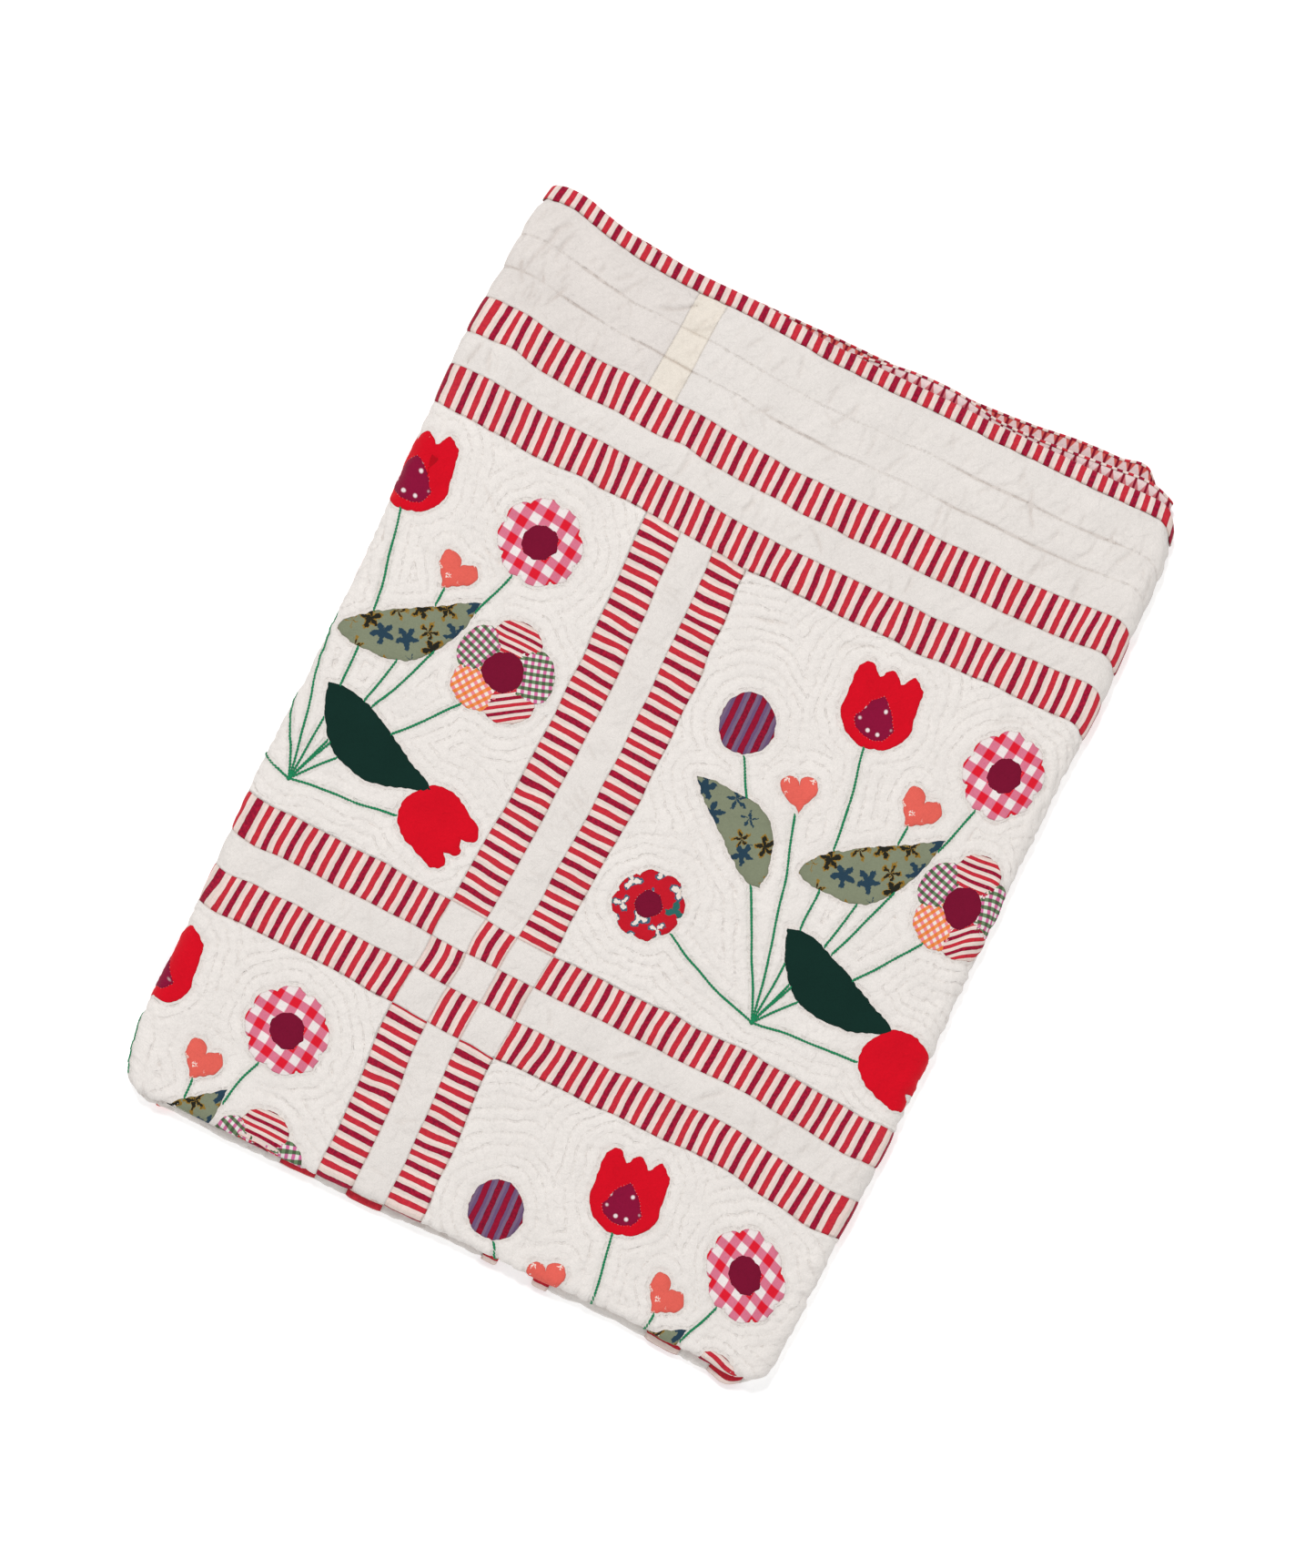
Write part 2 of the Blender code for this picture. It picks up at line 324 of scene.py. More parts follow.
def clothPlace(u, v):
    # from the patchwork's straight lines to where they lie on the real sheet
    u, v = np.asarray(u, float), np.asarray(v, float)
    spots = np.interp(u, seamPlaces, np.arange(len(seamPlaces), dtype=float))
    strayV = np.zeros_like(u)
    for k in range(len(seamPlaces)):
        strayV += np.clip(1 - np.abs(spots - k), 0, 1) * readTable(seamStray, v, 1 + k)
    window = 1 - eased(np.abs(u - fullWidth / 2), 330, 520)
    strayU = readTable(middleStray, v, 1) * window
    edge = np.minimum(np.minimum(u, fullWidth - u), np.minimum(v, fullLength - v))
    wobble = patchwork["seamWobble"] * eased(edge, 16, 60)
    return u + strayU + wobble * sampled(wobbleU, u, v), v + strayV + wobble * sampled(wobbleV, u, v)


# The applique: a generic spray of flowers in each block, sizes and places in mm from the
# block's top left corner
spray = {
    "lift": 0.6,
    "puff": 0.3,
    "step": 3.4,
    "outlineStep": 2.2,
    "handCut": 0.45,  # how far an outline strays from its drawn line
}
# fabric, outline, how many layers up, x, y, width, height, turn in degrees
motifs = (
    ("sage", "leaf", 1, 230, 200, 150, 54, -38),
    ("sage", "leaf", 1, 92, 240, 128, 50, 214),
    ("green", "leaf", 1, 262, 322, 150, 56, 18),
    ("gingham", "rosette", 1, 318, 74, 88, 88, 10),
    ("burgundy", "disc", 2, 318, 74, 36, 36, 0),
    ("red", "tulip", 1, 176, 66, 74, 82, -4),
    ("dotted", "tulipHeart", 2, 176, 76, 42, 42, -4),
    ("coral", "heart", 1, 252, 140, 42, 40, 14),
    ("greenCheck", "petal", 1, 338, 206, 52, 54, -18),
    ("redStripe", "petal", 1, 338, 206, 52, 54, 54),
    ("orangeCheck", "petal", 1, 338, 206, 52, 54, 126),
    ("greenCheck", "petal", 1, 338, 206, 52, 54, 198),
    ("redStripe", "petal", 1, 338, 206, 52, 54, 270),
    ("burgundy", "disc", 2, 338, 206, 42, 42, 0),
    ("purpleStripe", "disc", 1, 62, 136, 56, 60, 0),
    ("coral", "heart", 1, 138, 176, 38, 36, -24),
    ("red", "tulip", 1, 352, 372, 66, 78, 112),
    ("redPrint", "rosette", 1, 58, 340, 72, 72, 0),
    ("burgundy", "disc", 2, 58, 340, 28, 28, 0),
)
# stems: where each starts, bends and ends
stems = (
    ((204, 400), (206, 250), (176, 104)),
    ((204, 400), (236, 300), (250, 158)),
    ((204, 400), (262, 240), (306, 112)),
    ((204, 400), (262, 330), (328, 238)),
    ((204, 400), (262, 392), (320, 384)),
    ((204, 400), (176, 290), (142, 194)),
    ((204, 400), (150, 300), (72, 164)),
    ((204, 400), (150, 392), (90, 356)),
)


def ellipse(width, height):
    turn = np.linspace(0, math.tau, 60, endpoint=False)
    return np.stack([width / 2 * np.cos(turn), height / 2 * np.sin(turn)], -1)


def rosette(width, height):
    # eight round scallops
    turn = np.linspace(0, math.tau, 120, endpoint=False)
    scallop = 0.88 + 0.12 * np.sqrt(np.abs(np.sin(4 * turn)))
    return np.stack([width / 2 * scallop * np.cos(turn), height / 2 * scallop * np.sin(turn)], -1)


def leaf(width, height):
    # two curved sides, fuller towards the stem, with a slight bend
    along = np.linspace(0, 1, 32)
    swell = np.sin(math.pi * along ** 0.8) ** 0.9
    bend = 0.12 * width * np.sin(math.pi * along)
    x = (along - 0.5) * width
    upper = np.stack([x, bend + height / 2 * swell], -1)
    lower = np.stack([x, bend - height / 2 * swell], -1)[::-1]
    return np.concatenate([upper, lower[1:-1]])


def petal(width, height):
    # narrow at the flower's middle, round outside, pointing away from it
    along = np.linspace(0, 1, 26)
    widest = 0.62
    tip = np.sqrt(np.clip(1 - ((along - widest) / (1 - widest)) ** 2, 0, 1))
    narrow = np.sin(math.pi / 2 * (0.25 + 0.75 * along / widest))
    swell = np.where(along <= widest, narrow, tip)
    upper = np.stack([along * height, width / 2 * swell], -1)
    lower = np.stack([along * height, -width / 2 * swell], -1)[::-1]
    return np.concatenate([upper, lower[1:]])


def tulip(width, height):
    # a round cup under three points
    turn = np.linspace(0, math.pi, 26)
    cup = np.stack([width / 2 * np.cos(turn), height * (0.08 + 0.42 * np.sin(turn))], -1)
    rim = np.linspace(-1, 1, 37)[1:-1]
    points = 0.36 + 0.14 * np.abs(np.sin(1.5 * math.pi * rim + math.pi / 2)) ** 1.3
    side = width / 2 * (1 - 0.08 * np.sin(math.pi * np.abs(rim)))
    top = np.stack([rim * side, -height * points], -1)
    return np.concatenate([cup, top])


def tulipHeart(width, height):
    turn = np.linspace(0, math.pi, 20)
    cup = np.stack([width / 2 * np.cos(turn), height * (0.1 + 0.4 * np.sin(turn))], -1)
    tip = np.array([[-width * 0.3, -height * 0.3], [0, -height * 0.55], [width * 0.3, -height * 0.3]])
    return np.concatenate([cup, tip])


def heart(width, height):
    turn = np.linspace(0, math.tau, 56, endpoint=False)
    x = width / 2 * np.sin(turn) ** 3
    y = 13 * np.cos(turn) - 5 * np.cos(2 * turn) - 2 * np.cos(3 * turn) - np.cos(4 * turn)
    return np.stack([x, -height / 29 * y - 0.06 * height], -1)


outlines = {
    "disc": ellipse,
    "rosette": rosette,
    "leaf": leaf,
    "petal": petal,
    "tulip": tulip,
    "tulipHeart": tulipHeart,
    "heart": heart,
}


def turned(points, turn, x, y):
    cos, sin = math.cos(turn), math.sin(turn)
    across, down = points[:, 0], points[:, 1]
    return np.stack([x + across * cos - down * sin, y + across * sin + down * cos], -1)


def runLengths(path):
    # how far along a path each of its points is
    return np.concatenate([[0], np.cumsum(np.linalg.norm(np.diff(path, axis=0), axis=1))])


def evened(points, step):
    # a closed outline with its points a step apart
    closed = np.concatenate([points, points[:1]])
    lengths = runLengths(closed)
    count = max(8, int(round(lengths[-1] / step)))
    at = np.linspace(0, lengths[-1], count, endpoint=False)
    return np.stack([np.interp(at, lengths, closed[:, k]) for k in (0, 1)], -1)


def anticlockwise(points):
    nextOnes = np.roll(points, -1, axis=0)
    area = np.sum(points[:, 0] * nextOnes[:, 1] - nextOnes[:, 0] * points[:, 1])
    return points if area > 0 else points[::-1]


def inside(points, outline):
    # which points an outline holds
    x, y = points[:, 0], points[:, 1]
    held = np.zeros(len(points), bool)
    for a, b in zip(outline, np.roll(outline, -1, axis=0)):
        if a[1] == b[1]:
            continue
        crosses = (a[1] > y) != (b[1] > y)
        held ^= crosses & (x < a[0] + (y - a[1]) * (b[0] - a[0]) / (b[1] - a[1]))
    return held


def stemPath(stem, step=2.5):
    a, b, c = (np.array(p, float) for p in stem)
    f = np.linspace(0, 1, 80)[:, None]
    path = a * (1 - f) ** 2 + 2 * b * f * (1 - f) + c * f * f
    lengths = runLengths(path)
    at = np.arange(0, lengths[-1], step)
    return np.stack([np.interp(at, lengths, path[:, k]) for k in (0, 1)], -1)


patchOutlines = []
for number, (fabric, shape, level, x, y, width, height, turn) in enumerate(motifs):
    placed = turned(outlines[shape](width, height), math.radians(turn), x, y)
    outline = anticlockwise(evened(placed, spray["outlineStep"]))
    stray = np.random.default_rng(200 + number).normal(size=(len(outline), 2)) * spray["handCut"]
    stray = (np.roll(stray, 1, axis=0) + 2 * stray + np.roll(stray, -1, axis=0)) / 2.4
    patchOutlines.append(outline + stray)


# The quilting: rows that echo the applique and the seams
quilting = {
    "rowGap": 11.3,
    "firstRow": 3.2,
    "blockDepth": 1.7,
    "pucker": 1.15,
    "stripDepth": 1.0,
    "stripWrinkle": 0.85,
    "sashDepth": 0.5,
    "sashWrinkle": 0.22,
    "borderLines": (58.0, 93.0),  # two tucks run round the quilt, this far in
    "borderDepth": 1.0,
    "borderWrinkle": 0.75,
    "tuckDepth": 1.2,
    "creaseDepth": 2.4,  # times the depth of each crease
    "crumple": 0.5,
    "beads": 1.0,
    "ditch": 0.5,
    "ditchWidth": 1.3,
    "seamShade": 0.3,
    "borderSeamShade": 0.08,
    "deepest": 3.0,
    "lineReach": 0.55,  # how near a quilted line a stitch may lie
}
# creases on the face: place across and down, length, angle from the head edge, depth
creases = (
    (580, 40, 52, 140, 0.9),
    (664, 40, 26, 118, 0.5),
    (775, 58, 46, 108, 0.6),
    (884, 38, 26, 118, 0.5),
    (985, 62, 50, 62, 0.8),
    (940, 60, 44, 130, 0.5),
    (905, 112, 36, 95, 0.6),
    (1015, 108, 34, 88, 0.6),
    (700, 92, 36, 125, 0.5),
    (655, 184, 30, 100, 0.7),
    (806, 184, 40, 38, 0.7),
    (906, 184, 28, 95, 0.5),
    (730, 184, 26, 112, 0.5),
    (1000, 184, 28, 118, 0.5),
    (480, 184, 30, 98, 0.5),
    (560, 186, 26, 118, 0.4),
    (870, 729, 32, 130, 0.6),
    (965, 729, 34, 124, 0.6),
    (1040, 729, 30, 100, 0.5),
    (560, 729, 26, 100, 0.4),
    (790, 729, 26, 60, 0.4),
    (430, 66, 70, 93, 0.8),
    (450, 52, 46, 84, 0.6),
    (426, 92, 34, 66, 0.7),
    (441, 108, 30, 78, 0.6),
    (438, 40, 30, 122, 0.6),
    (462, 72, 26, 104, 0.5),
    (528, 46, 44, 128, 0.5),
    (612, 74, 24, 100, 0.4),
    (842, 80, 40, 124, 0.5),
    (1090, 66, 40, 108, 0.5),
    (1060, 112, 30, 96, 0.4),
    (424, 185, 36, 92, 0.9),
    (440, 186, 30, 86, 0.7),
    (468, 95, 44, 97, 0.6),
    (500, 300, 60, 30, 0.5),
    (520, 345, 44, 20, 0.5),
    (890, 262, 50, 150, 0.5),
    (800, 275, 40, 160, 0.5),
    (1060, 268, 60, 155, 0.6),
)
# small puckers between them: how many, the places across and down, and the angle
puckers = (
    (34, (400, 1150), (34, 52), 100),
    (26, (400, 1150), (64, 84), 95),
    (30, (400, 1150), (98, 122), 84),
    (30, (400, 1150), (172, 196), 92),
    (26, (400, 1150), (718, 740), 88),
    (22, (694, 710), (250, 660), 8),
    (8, (690, 706), (800, 950), 4),
    (16, (404, 470), (30, 120), 88),
)


def allCreases():
    # the listed creases, then the small puckers
    rng = np.random.default_rng(61)
    small = []
    for number, across, down, angle in puckers:
        for k in range(number):
            x, y = int(rng.uniform(*across)), int(rng.uniform(*down))
            length, turn = rng.uniform(14, 34), rng.normal(angle, 20)
            small.append((x, y, length, turn, rng.uniform(0.15, 0.5)))
    return [*creases, *small]


def patchDistance(wide, high):
    # how far each place in a block is from the applique: below nought inside it
    ys, xs = np.mgrid[0:high + 4:2, 0:wide + 4:2]
    points = np.stack([xs.ravel(), ys.ravel()], -1).astype(np.float32)
    sources = patchOutlines + [stemPath(stem) for stem in stems]
    sources = np.concatenate(sources).astype(np.float32)
    nearest = np.full(len(points), 1e9, np.float32)
    for start in range(0, len(sources), 256):
        some = sources[start:start + 256]
        gap = (points[:, None, 0] - some[None, :, 0]) ** 2 + (points[:, None, 1] - some[None, :, 1]) ** 2
        nearest = np.minimum(nearest, gap.min(1))
    held = np.zeros(len(points), bool)
    for outline in patchOutlines:
        held |= inside(points, outline)
    field = np.where(held, -np.sqrt(nearest), np.sqrt(nearest)).reshape(xs.shape)
    x, y = np.meshgrid(np.arange(wide + 1) / 2, np.arange(high + 1) / 2)
    return sampled(field.astype(np.float32), x, y)


def streaked(noise, alongX, alongY, reach):
    # noise smeared along a direction, so that it runs in short ridges
    rows, columns = noise.shape
    y, x = np.mgrid[0:rows, 0:columns].astype(np.float32)
    total = np.zeros_like(noise)
    weights = 0.0
    for k in range(-reach, reach + 1):
        weight = 1 - abs(k) / (reach + 1)
        total += weight * sampled(noise, x + k * alongX, y + k * alongY)
        weights += weight
    return total / weights * math.sqrt(reach)


def blockRelief(toPatch, seed):
    # how far a quilted block lies under the top of its pillows, the painted shade beside the
    # applique's edges, the gap to the nearest quilted row with its direction, and the count of rows
    shape = toPatch.shape
    drift = 2.2 * softNoise(*shape, 34, seed) + 0.8 * softNoise(*shape, 9, seed + 1)
    slopeY, slopeX = np.gradient(toPatch)
    steep = np.sqrt(slopeX ** 2 + slopeY ** 2) + 1e-3
    slopeX, slopeY = slopeX / steep, slopeY / steep
    rows = (toPatch + drift * eased(toPatch, 2, 14) - quilting["firstRow"]) / quilting["rowGap"]
    phase = rows - np.floor(rows)
    pillow = np.clip(4 * phase * (1 - phase), 0, 1) ** 0.5
    strength = 0.75 + 0.25 * softNoise(*shape, 45, seed + 2)
    hollow = quilting["blockDepth"] * np.clip(strength, 0.35, 1.2) * (1 - pillow)
    grain = np.random.default_rng(seed + 3).normal(size=shape).astype(np.float32)
    grain = softNoise(*shape, 4.2, seed + 4) + 0.4 * grain
    ridges = np.clip(0.5 - 0.55 * streaked(grain, slopeX, slopeY, 7), 0, 1.6)
    pucker = quilting["pucker"] * ridges * (0.45 + 0.55 * (1 - pillow))
    loose = np.clip(softNoise(*shape, 11, seed + 5) * 0.28, -0.3, 0.6)
    onPatch = eased(-toPatch, -0.5, 3.0)
    near = np.exp(-np.abs(toPatch - 0.6) / 1.6)
    surface = hollow + pucker + loose
    surface = surface * (1 - onPatch) + onPatch * (0.5 + 0.25 * softNoise(*shape, 16, seed + 6))
    toRow = np.where(toPatch > 1.5, np.minimum(phase, 1 - phase) * quilting["rowGap"], 99)
    counted = np.where(toPatch > 1.5, rows, -0.5)
    # beside the patches the cloth dips a little and gets painted shade
    return surface + 0.4 * near, 0.4 * near, toRow, slopeX, slopeY, counted


def quiltRelief(cells):
    # the hollows of the whole top on a 1 mm grid, how much painted shade each place gets in
    # stitched lines, tucks, seams and creases, the gap to the nearest quilted line with the way
    # that line runs, and a count that is a whole number on each line
    v, u = np.mgrid[0:gridHigh, 0:gridWide].astype(np.float32)
    hollow = np.full((gridHigh, gridWide), 0.3, np.float32)
    line = np.zeros_like(hollow)
    toRow = np.full_like(hollow, 99)
    runU, runV = np.ones_like(hollow), np.zeros_like(hollow)
    count = np.full_like(hollow, 0.5)
    wrinkles = streaked(softNoise(gridHigh, gridWide, 7, 31), -0.35, 0.94, 9)
    broken = 0.12 + 0.88 * eased(softNoise(gridHigh, gridWide, 38, 35), -0.5, 0.8)
    toPatch = patchDistance(403, 430)
    for number, (group, fabric, kind, left, right, top, foot) in enumerate(cells):
        left1, right1, top1, foot1 = (int(math.ceil(place)) for place in (left, right, top, foot))
        here = (slice(top1, foot1), slice(left1, right1))
        cu, cv = u[here], v[here]
        toEdge = np.minimum(np.minimum(cu - left, right - cu), np.minimum(cv - top, foot - cv))
        if kind == "block":
            patched = toPatch[:cu.shape[0], :cu.shape[1]]
            made = blockRelief(patched, 100 + 10 * number)
            hollow[here], line[here], toRow[here], runV[here], acrossRow, count[here] = made
            runU[here] = -acrossRow
        elif kind == "sash":
            rippled = np.clip(0.4 * wrinkles[here] + 0.3, 0, 1.2)
            hollow[here] = quilting["sashDepth"] * (1 - eased(toEdge, 0, 10))
            hollow[here] += quilting["sashWrinkle"] * rippled
        elif kind == "strip":
            rippled = np.clip(0.6 * wrinkles[here] + 0.2, 0, 1.4)
            hollow[here] = quilting["stripDepth"] * (1 - eased(toEdge, 0, 15))
            hollow[here] += quilting["stripWrinkle"] * rippled
        else:
            fromRim = np.minimum(np.minimum(cu, fullWidth - cu), np.minimum(cv, fullLength - cv))
            tuck = np.minimum.reduce([np.abs(fromRim - stop) for stop in quilting["borderLines"]])
            toLine = np.minimum(tuck, np.abs(fromRim - patchwork["acrossLines"][0]))
            rippled = np.clip(0.6 * wrinkles[here] + 0.25, 0, 1.5)
            hollow[here] = quilting["borderDepth"] * (1 - eased(toLine, 0, 14))
            hollow[here] += quilting["borderWrinkle"] * rippled
            hollow[here] += quilting["tuckDepth"] * np.exp(-((tuck / 1.3) ** 2)) * broken[here]
            # painted shade along the tucks, broken in places
            line[here] = np.exp(-((tuck / 0.9) ** 2)) * broken[here]
            toRow[here] = tuck
            count[here] = np.minimum(tuck / quilting["rowGap"], 0.5)
        hollow[here] += quilting["ditch"] * np.exp(-((toEdge / quilting["ditchWidth"]) ** 2))
        seamShade = quilting["borderSeamShade" if kind == "border" else "seamShade"]
        line[here] = np.maximum(line[here], seamShade * np.exp(-(toEdge ** 2)))
    for x, y, length, angle, depth in allCreases():
        turn = math.radians(angle)
        reach = int(length / 2 + 14)
        here = (slice(max(0, y - reach), y + reach), slice(max(0, x - reach), x + reach))
        du, dv = u[here] - x, v[here] - y
        along = du * math.cos(turn) + dv * math.sin(turn)
        off = -du * math.sin(turn) + dv * math.cos(turn) + 3.0 * np.sin(along / 13.0 + x)
        fade = quilting["creaseDepth"] * depth * (1 - eased(np.abs(along), length * 0.22, length * 0.5))
        # a narrow valley with a low ridge on one side
        hollow[here] += fade * (np.exp(-((off / 1.9) ** 2)) - 0.4 * np.exp(-(((off - 5.0) / 3.0) ** 2)))
        # painted shade in the valley of each crease
        line[here] = np.maximum(line[here], 0.22 * fade * np.exp(-((off / 1.6) ** 2)))
    # the side folds of the face are crumpled, the left one along its length
    crumpled = streaked(softNoise(gridHigh, gridWide, 5, 37), 0.0, 1.0, 10)
    atFold = banded(u, 404, 416, 432, 470) * (1 - eased(v, 690, 720))
    hollow += quilting["crumple"] * atFold * np.clip(crumpled, -0.6, 1.6)
    # beside the blocks both are beaded by the ends of the rows
    beaded = softNoise(gridHigh, gridWide, 7.5, 39)
    inBlocks = eased(v, 241, 250) * (1 - 0.8 * banded(v, 662, 672, 788, 798))
    atFold = banded(u, 1100, 1128, 1166, 1180) + 0.6 * banded(u, 396, 404, 420, 440)
    hollow += quilting["beads"] * atFold * inBlocks * np.clip(beaded, -0.8, 1.4)
    return np.minimum(hollow, quilting["deepest"]), line, toRow, runU, runV, count


cells = sewnCells()
hollowMap, lineMap, rowMap, runMapU, runMapV, countMap = quiltRelief(cells)
print("quilting worked out for", len(cells), "cut pieces")


def under(u):
    # 0 on the face, 1 on the two flaps below
    return eased(np.abs(u - endLeft), faceHalf + 8, faceHalf + 42)


def topOut(u, v):
    # height of the patched surface over the sheet's middle, at a place in the patchwork
    onClothU, onClothV = clothPlace(u, v)
    out = halfThickness(onClothU, onClothV) - sampled(hollowMap, u, v)
    return onClothU, onClothV, out - patchwork["flapSink"] * under(onClothU)


def topPoint(u, v, lift):
    onClothU, onClothV, out = topOut(u, v)
    return foldPoint(onClothU, onClothV, out + lift)


# Meshes. A part is its points, its faces (four- and three-cornered), a flat place for each
# point and the name of its fabric.
def volumeOf(points, quads, triangles):
    all3 = np.concatenate([quads[:, [0, 1, 2]], quads[:, [0, 2, 3]], triangles])
    a, b, c = (points[all3[:, k]] for k in (0, 1, 2))
    return float(np.einsum("ij,ij->i", a, np.cross(b, c)).sum() / 6)


def joinParts(name, parts, fabrics):
    # one object from several closed parts, with the faces of each turned outwards
    linings = {part["lining"][0] for part in parts if "lining" in part}
    names = sorted({part["fabric"] for part in parts} | linings)
    points, flat, stitched, counts, loops, sizes, slots = [], [], [], [], [], [], []
    start = 0
    for part in parts:
        quads = np.asarray(part.get("quads", []), np.int64).reshape(-1, 4)
        triangles = np.asarray(part.get("triangles", []), np.int64).reshape(-1, 3)
        if volumeOf(part["points"], quads, triangles) < 0:
            quads, triangles = quads[:, ::-1], triangles[:, ::-1]
        points.append(part["points"])
        flat.append(part["flat"])
        stitched.append(part.get("stitched", np.zeros(len(part["points"]))))
        counts.append(part.get("counts", np.full(len(part["points"]), 0.5)))
        loops += [(quads + start).ravel(), (triangles + start).ravel()]
        sizes += [np.full(len(quads), 4), np.full(len(triangles), 3)]
        faceFabric = np.full(len(quads) + len(triangles), names.index(part["fabric"]))
        if "lining" in part:
            faceFabric[:part["lining"][1]] = names.index(part["lining"][0])
        slots.append(faceFabric)
        start += len(part["points"])
    points, flat, stitched, counts = (np.concatenate(a) for a in (points, flat, stitched, counts))
    loops, sizes, slots = (np.concatenate(a).astype(np.int32) for a in (loops, sizes, slots))
    mesh = bpy.data.meshes.new(name)
    mesh.vertices.add(len(points))
    mesh.vertices.foreach_set("co", points.astype(np.float32).ravel())
    mesh.loops.add(len(loops))
    mesh.loops.foreach_set("vertex_index", loops)
    mesh.polygons.add(len(sizes))
    mesh.polygons.foreach_set("loop_start", np.concatenate([[0], np.cumsum(sizes)[:-1]]).astype(np.int32))
    mesh.polygons.foreach_set("material_index", slots)
    layer = mesh.uv_layers.new(name="flat")
    layer.data.foreach_set("uv", (flat[loops] * mm).astype(np.float32).ravel())
    # the stitched values are the mask of painted shade, with a little dust, that the finishes darken by
    for label, values in (("stitched", stitched), ("rowCount", counts)):
        mesh.attributes.new(label, "FLOAT", "POINT").data.foreach_set("value", values.astype(np.float32))
    mesh.update(calc_edges=True)
    mesh.shade_smooth()
    for fabric in names:
        mesh.materials.append(fabrics[fabric])
    piece = bpy.data.objects.new(name, mesh)
    bpy.context.scene.collection.objects.link(piece)
    return piece


def filled(outline, inner=()):
    # triangles that fill a closed outline, using the points inside it too
    spots = [Vector((float(x), float(y))) for x, y in [*outline, *inner]]
    ring = [(k, (k + 1) % len(outline)) for k in range(len(outline))]
    made = geometry.delaunay_2d_cdt(spots, ring, [], 1, 1e-7)
    first = [origin[0] for origin in made[3]]
    return np.array([[first[k] for k in face] for face in made[2]], np.int64)


def between(low, high, lines, step):
    # places from low to high that meet every line, about a step apart
    stops = [low, *sorted(x for x in lines if low + 1e-6 < x < high - 1e-6), high]
    places = []
    for a, b in zip(stops, stops[1:]):
        gap = step((a + b) / 2)
        count = max(1, int(round((b - a) / gap)))
        places.append(np.linspace(a, b, count, endpoint=False))
    return np.concatenate([*places, [high]])


foldZones = ((386.0, 438.0), (1124.0, 1176.0))  # where the sides bend, across the flat sheet
zoneLines = (*foldZones[0], *foldZones[1])
footZone = (962.0, 984.0)  # where the foot bends, down the flat sheet


def inFold(place):
    return any(a <= place <= b for a, b in foldZones)


def gridQuads(rows, columns):
    i, j = np.mgrid[0:rows - 1, 0:columns - 1]
    a = (i * columns + j).ravel()
    return np.stack([a, a + columns, a + columns + 1, a + 1], -1)


def gridRing(rows, columns):
    # the points round the edge of a grid, one after another
    index = np.arange(rows * columns).reshape(rows, columns)
    return np.concatenate([index[:-1, 0], index[-1, :-1], index[:0:-1, -1], index[0, :0:-1]])


def cellPart(cell):
    # one cut piece of the top: a fine upper face, its turned edges and a plain underside
    group, fabric, kind, left, right, top, foot = cell
    fine, flap, hidden = (patchwork[key] for key in ("fineStep", "flapStep", "hiddenStep"))
    seen = top < patchwork["fineDown"]
    shown = seen and right > patchwork["fineAcross"][0] and left < patchwork["fineAcross"][1]

    def acrossStep(place):
        if not seen:
            return 2.5 if inFold(place) else hidden
        if patchwork["fineAcross"][0] < place < patchwork["fineAcross"][1]:
            return fine
        return flap

    def downStep(place):
        if place > patchwork["fineDown"]:
            return hidden
        return fine if shown else flap

    tucks = []
    if kind == "border":
        tucks = [line + off for line in quilting["borderLines"] for off in (-1.1, 0.0, 1.1)]
    downLines = (*patchwork["downLines"], *tucks, 960.0, patchwork["fineDown"])
    us = between(left, right, (*patchwork["acrossLines"], *zoneLines), acrossStep)
    vs = between(top, foot, downLines, downStep)
    if not shown:
        vs = between(top, foot, (*downLines, 985.0), lambda p: 2.0 if 960 < p < 990 else downStep(p))
    u, v = np.meshgrid(us, vs)
    rows, columns = u.shape
    ring = gridRing(rows, columns)
    u, v = u.ravel(), v.ravel()
    onU, onV, out = topOut(u, v)
    upper = foldPoint(onU, onV, out)
    # the underside needs only its rim and a few points between
    coarseU = between(left, right, zoneLines, lambda p: 6.0 if inFold(p) else 30.0)[1:-1]
    coarseV = between(top, foot, (960.0, 990.0), lambda p: 3.0 if 960 < p < 990 else 30.0)[1:-1]
    spots = np.stack(np.meshgrid(coarseU, coarseV), -1).reshape(-1, 2)
    lowU, lowV = np.concatenate([u[ring], spots[:, 0]]), np.concatenate([v[ring], spots[:, 1]])
    onLowU, onLowV, outLow = topOut(lowU, lowV)
    deep = np.where(np.arange(len(lowU)) < len(ring), outLow, halfThickness(onLowU, onLowV) - 1.0)
    lower = foldPoint(onLowU, onLowV, deep - patchwork["thick"] - 0.3)
    rim = np.stack([lowU[:len(ring)], -lowV[:len(ring)]], -1)
    base = filled(rim, spots * (1, -1))
    start = len(u)
    k = np.arange(len(ring))
    k2 = np.roll(k, -1)
    skirt = np.stack([ring[k], start + k, start + k2, ring[k2]], -1)
    return {
        "fabric": fabric,
        "points": np.concatenate([upper, lower]),
        "quads": np.concatenate([gridQuads(rows, columns), skirt]),
        "triangles": base[:, ::-1] + start,
        "flat": np.stack([np.concatenate([u, lowU]), np.concatenate([v, lowV])], -1),
        # the underside is half darkened, so the turned edges between pieces grow darker downwards: painted
        # shade
        "stitched": np.concatenate([sampled(lineMap, u, v), np.full(len(lowU), 0.5)]),
        "counts": np.concatenate([sampled(countMap, u, v), np.full(len(lowU), 0.5)]),
    }


# The sheet itself, under the patchwork: wadding and backing, one closed body
sheet = {
    "frontUnder": 3.4,  # below the top of the pillows
    "backSink": 0.25,
    "rim": 1.2,
    "acrossStep": 16.0,
    "downStep": 20.0,
}


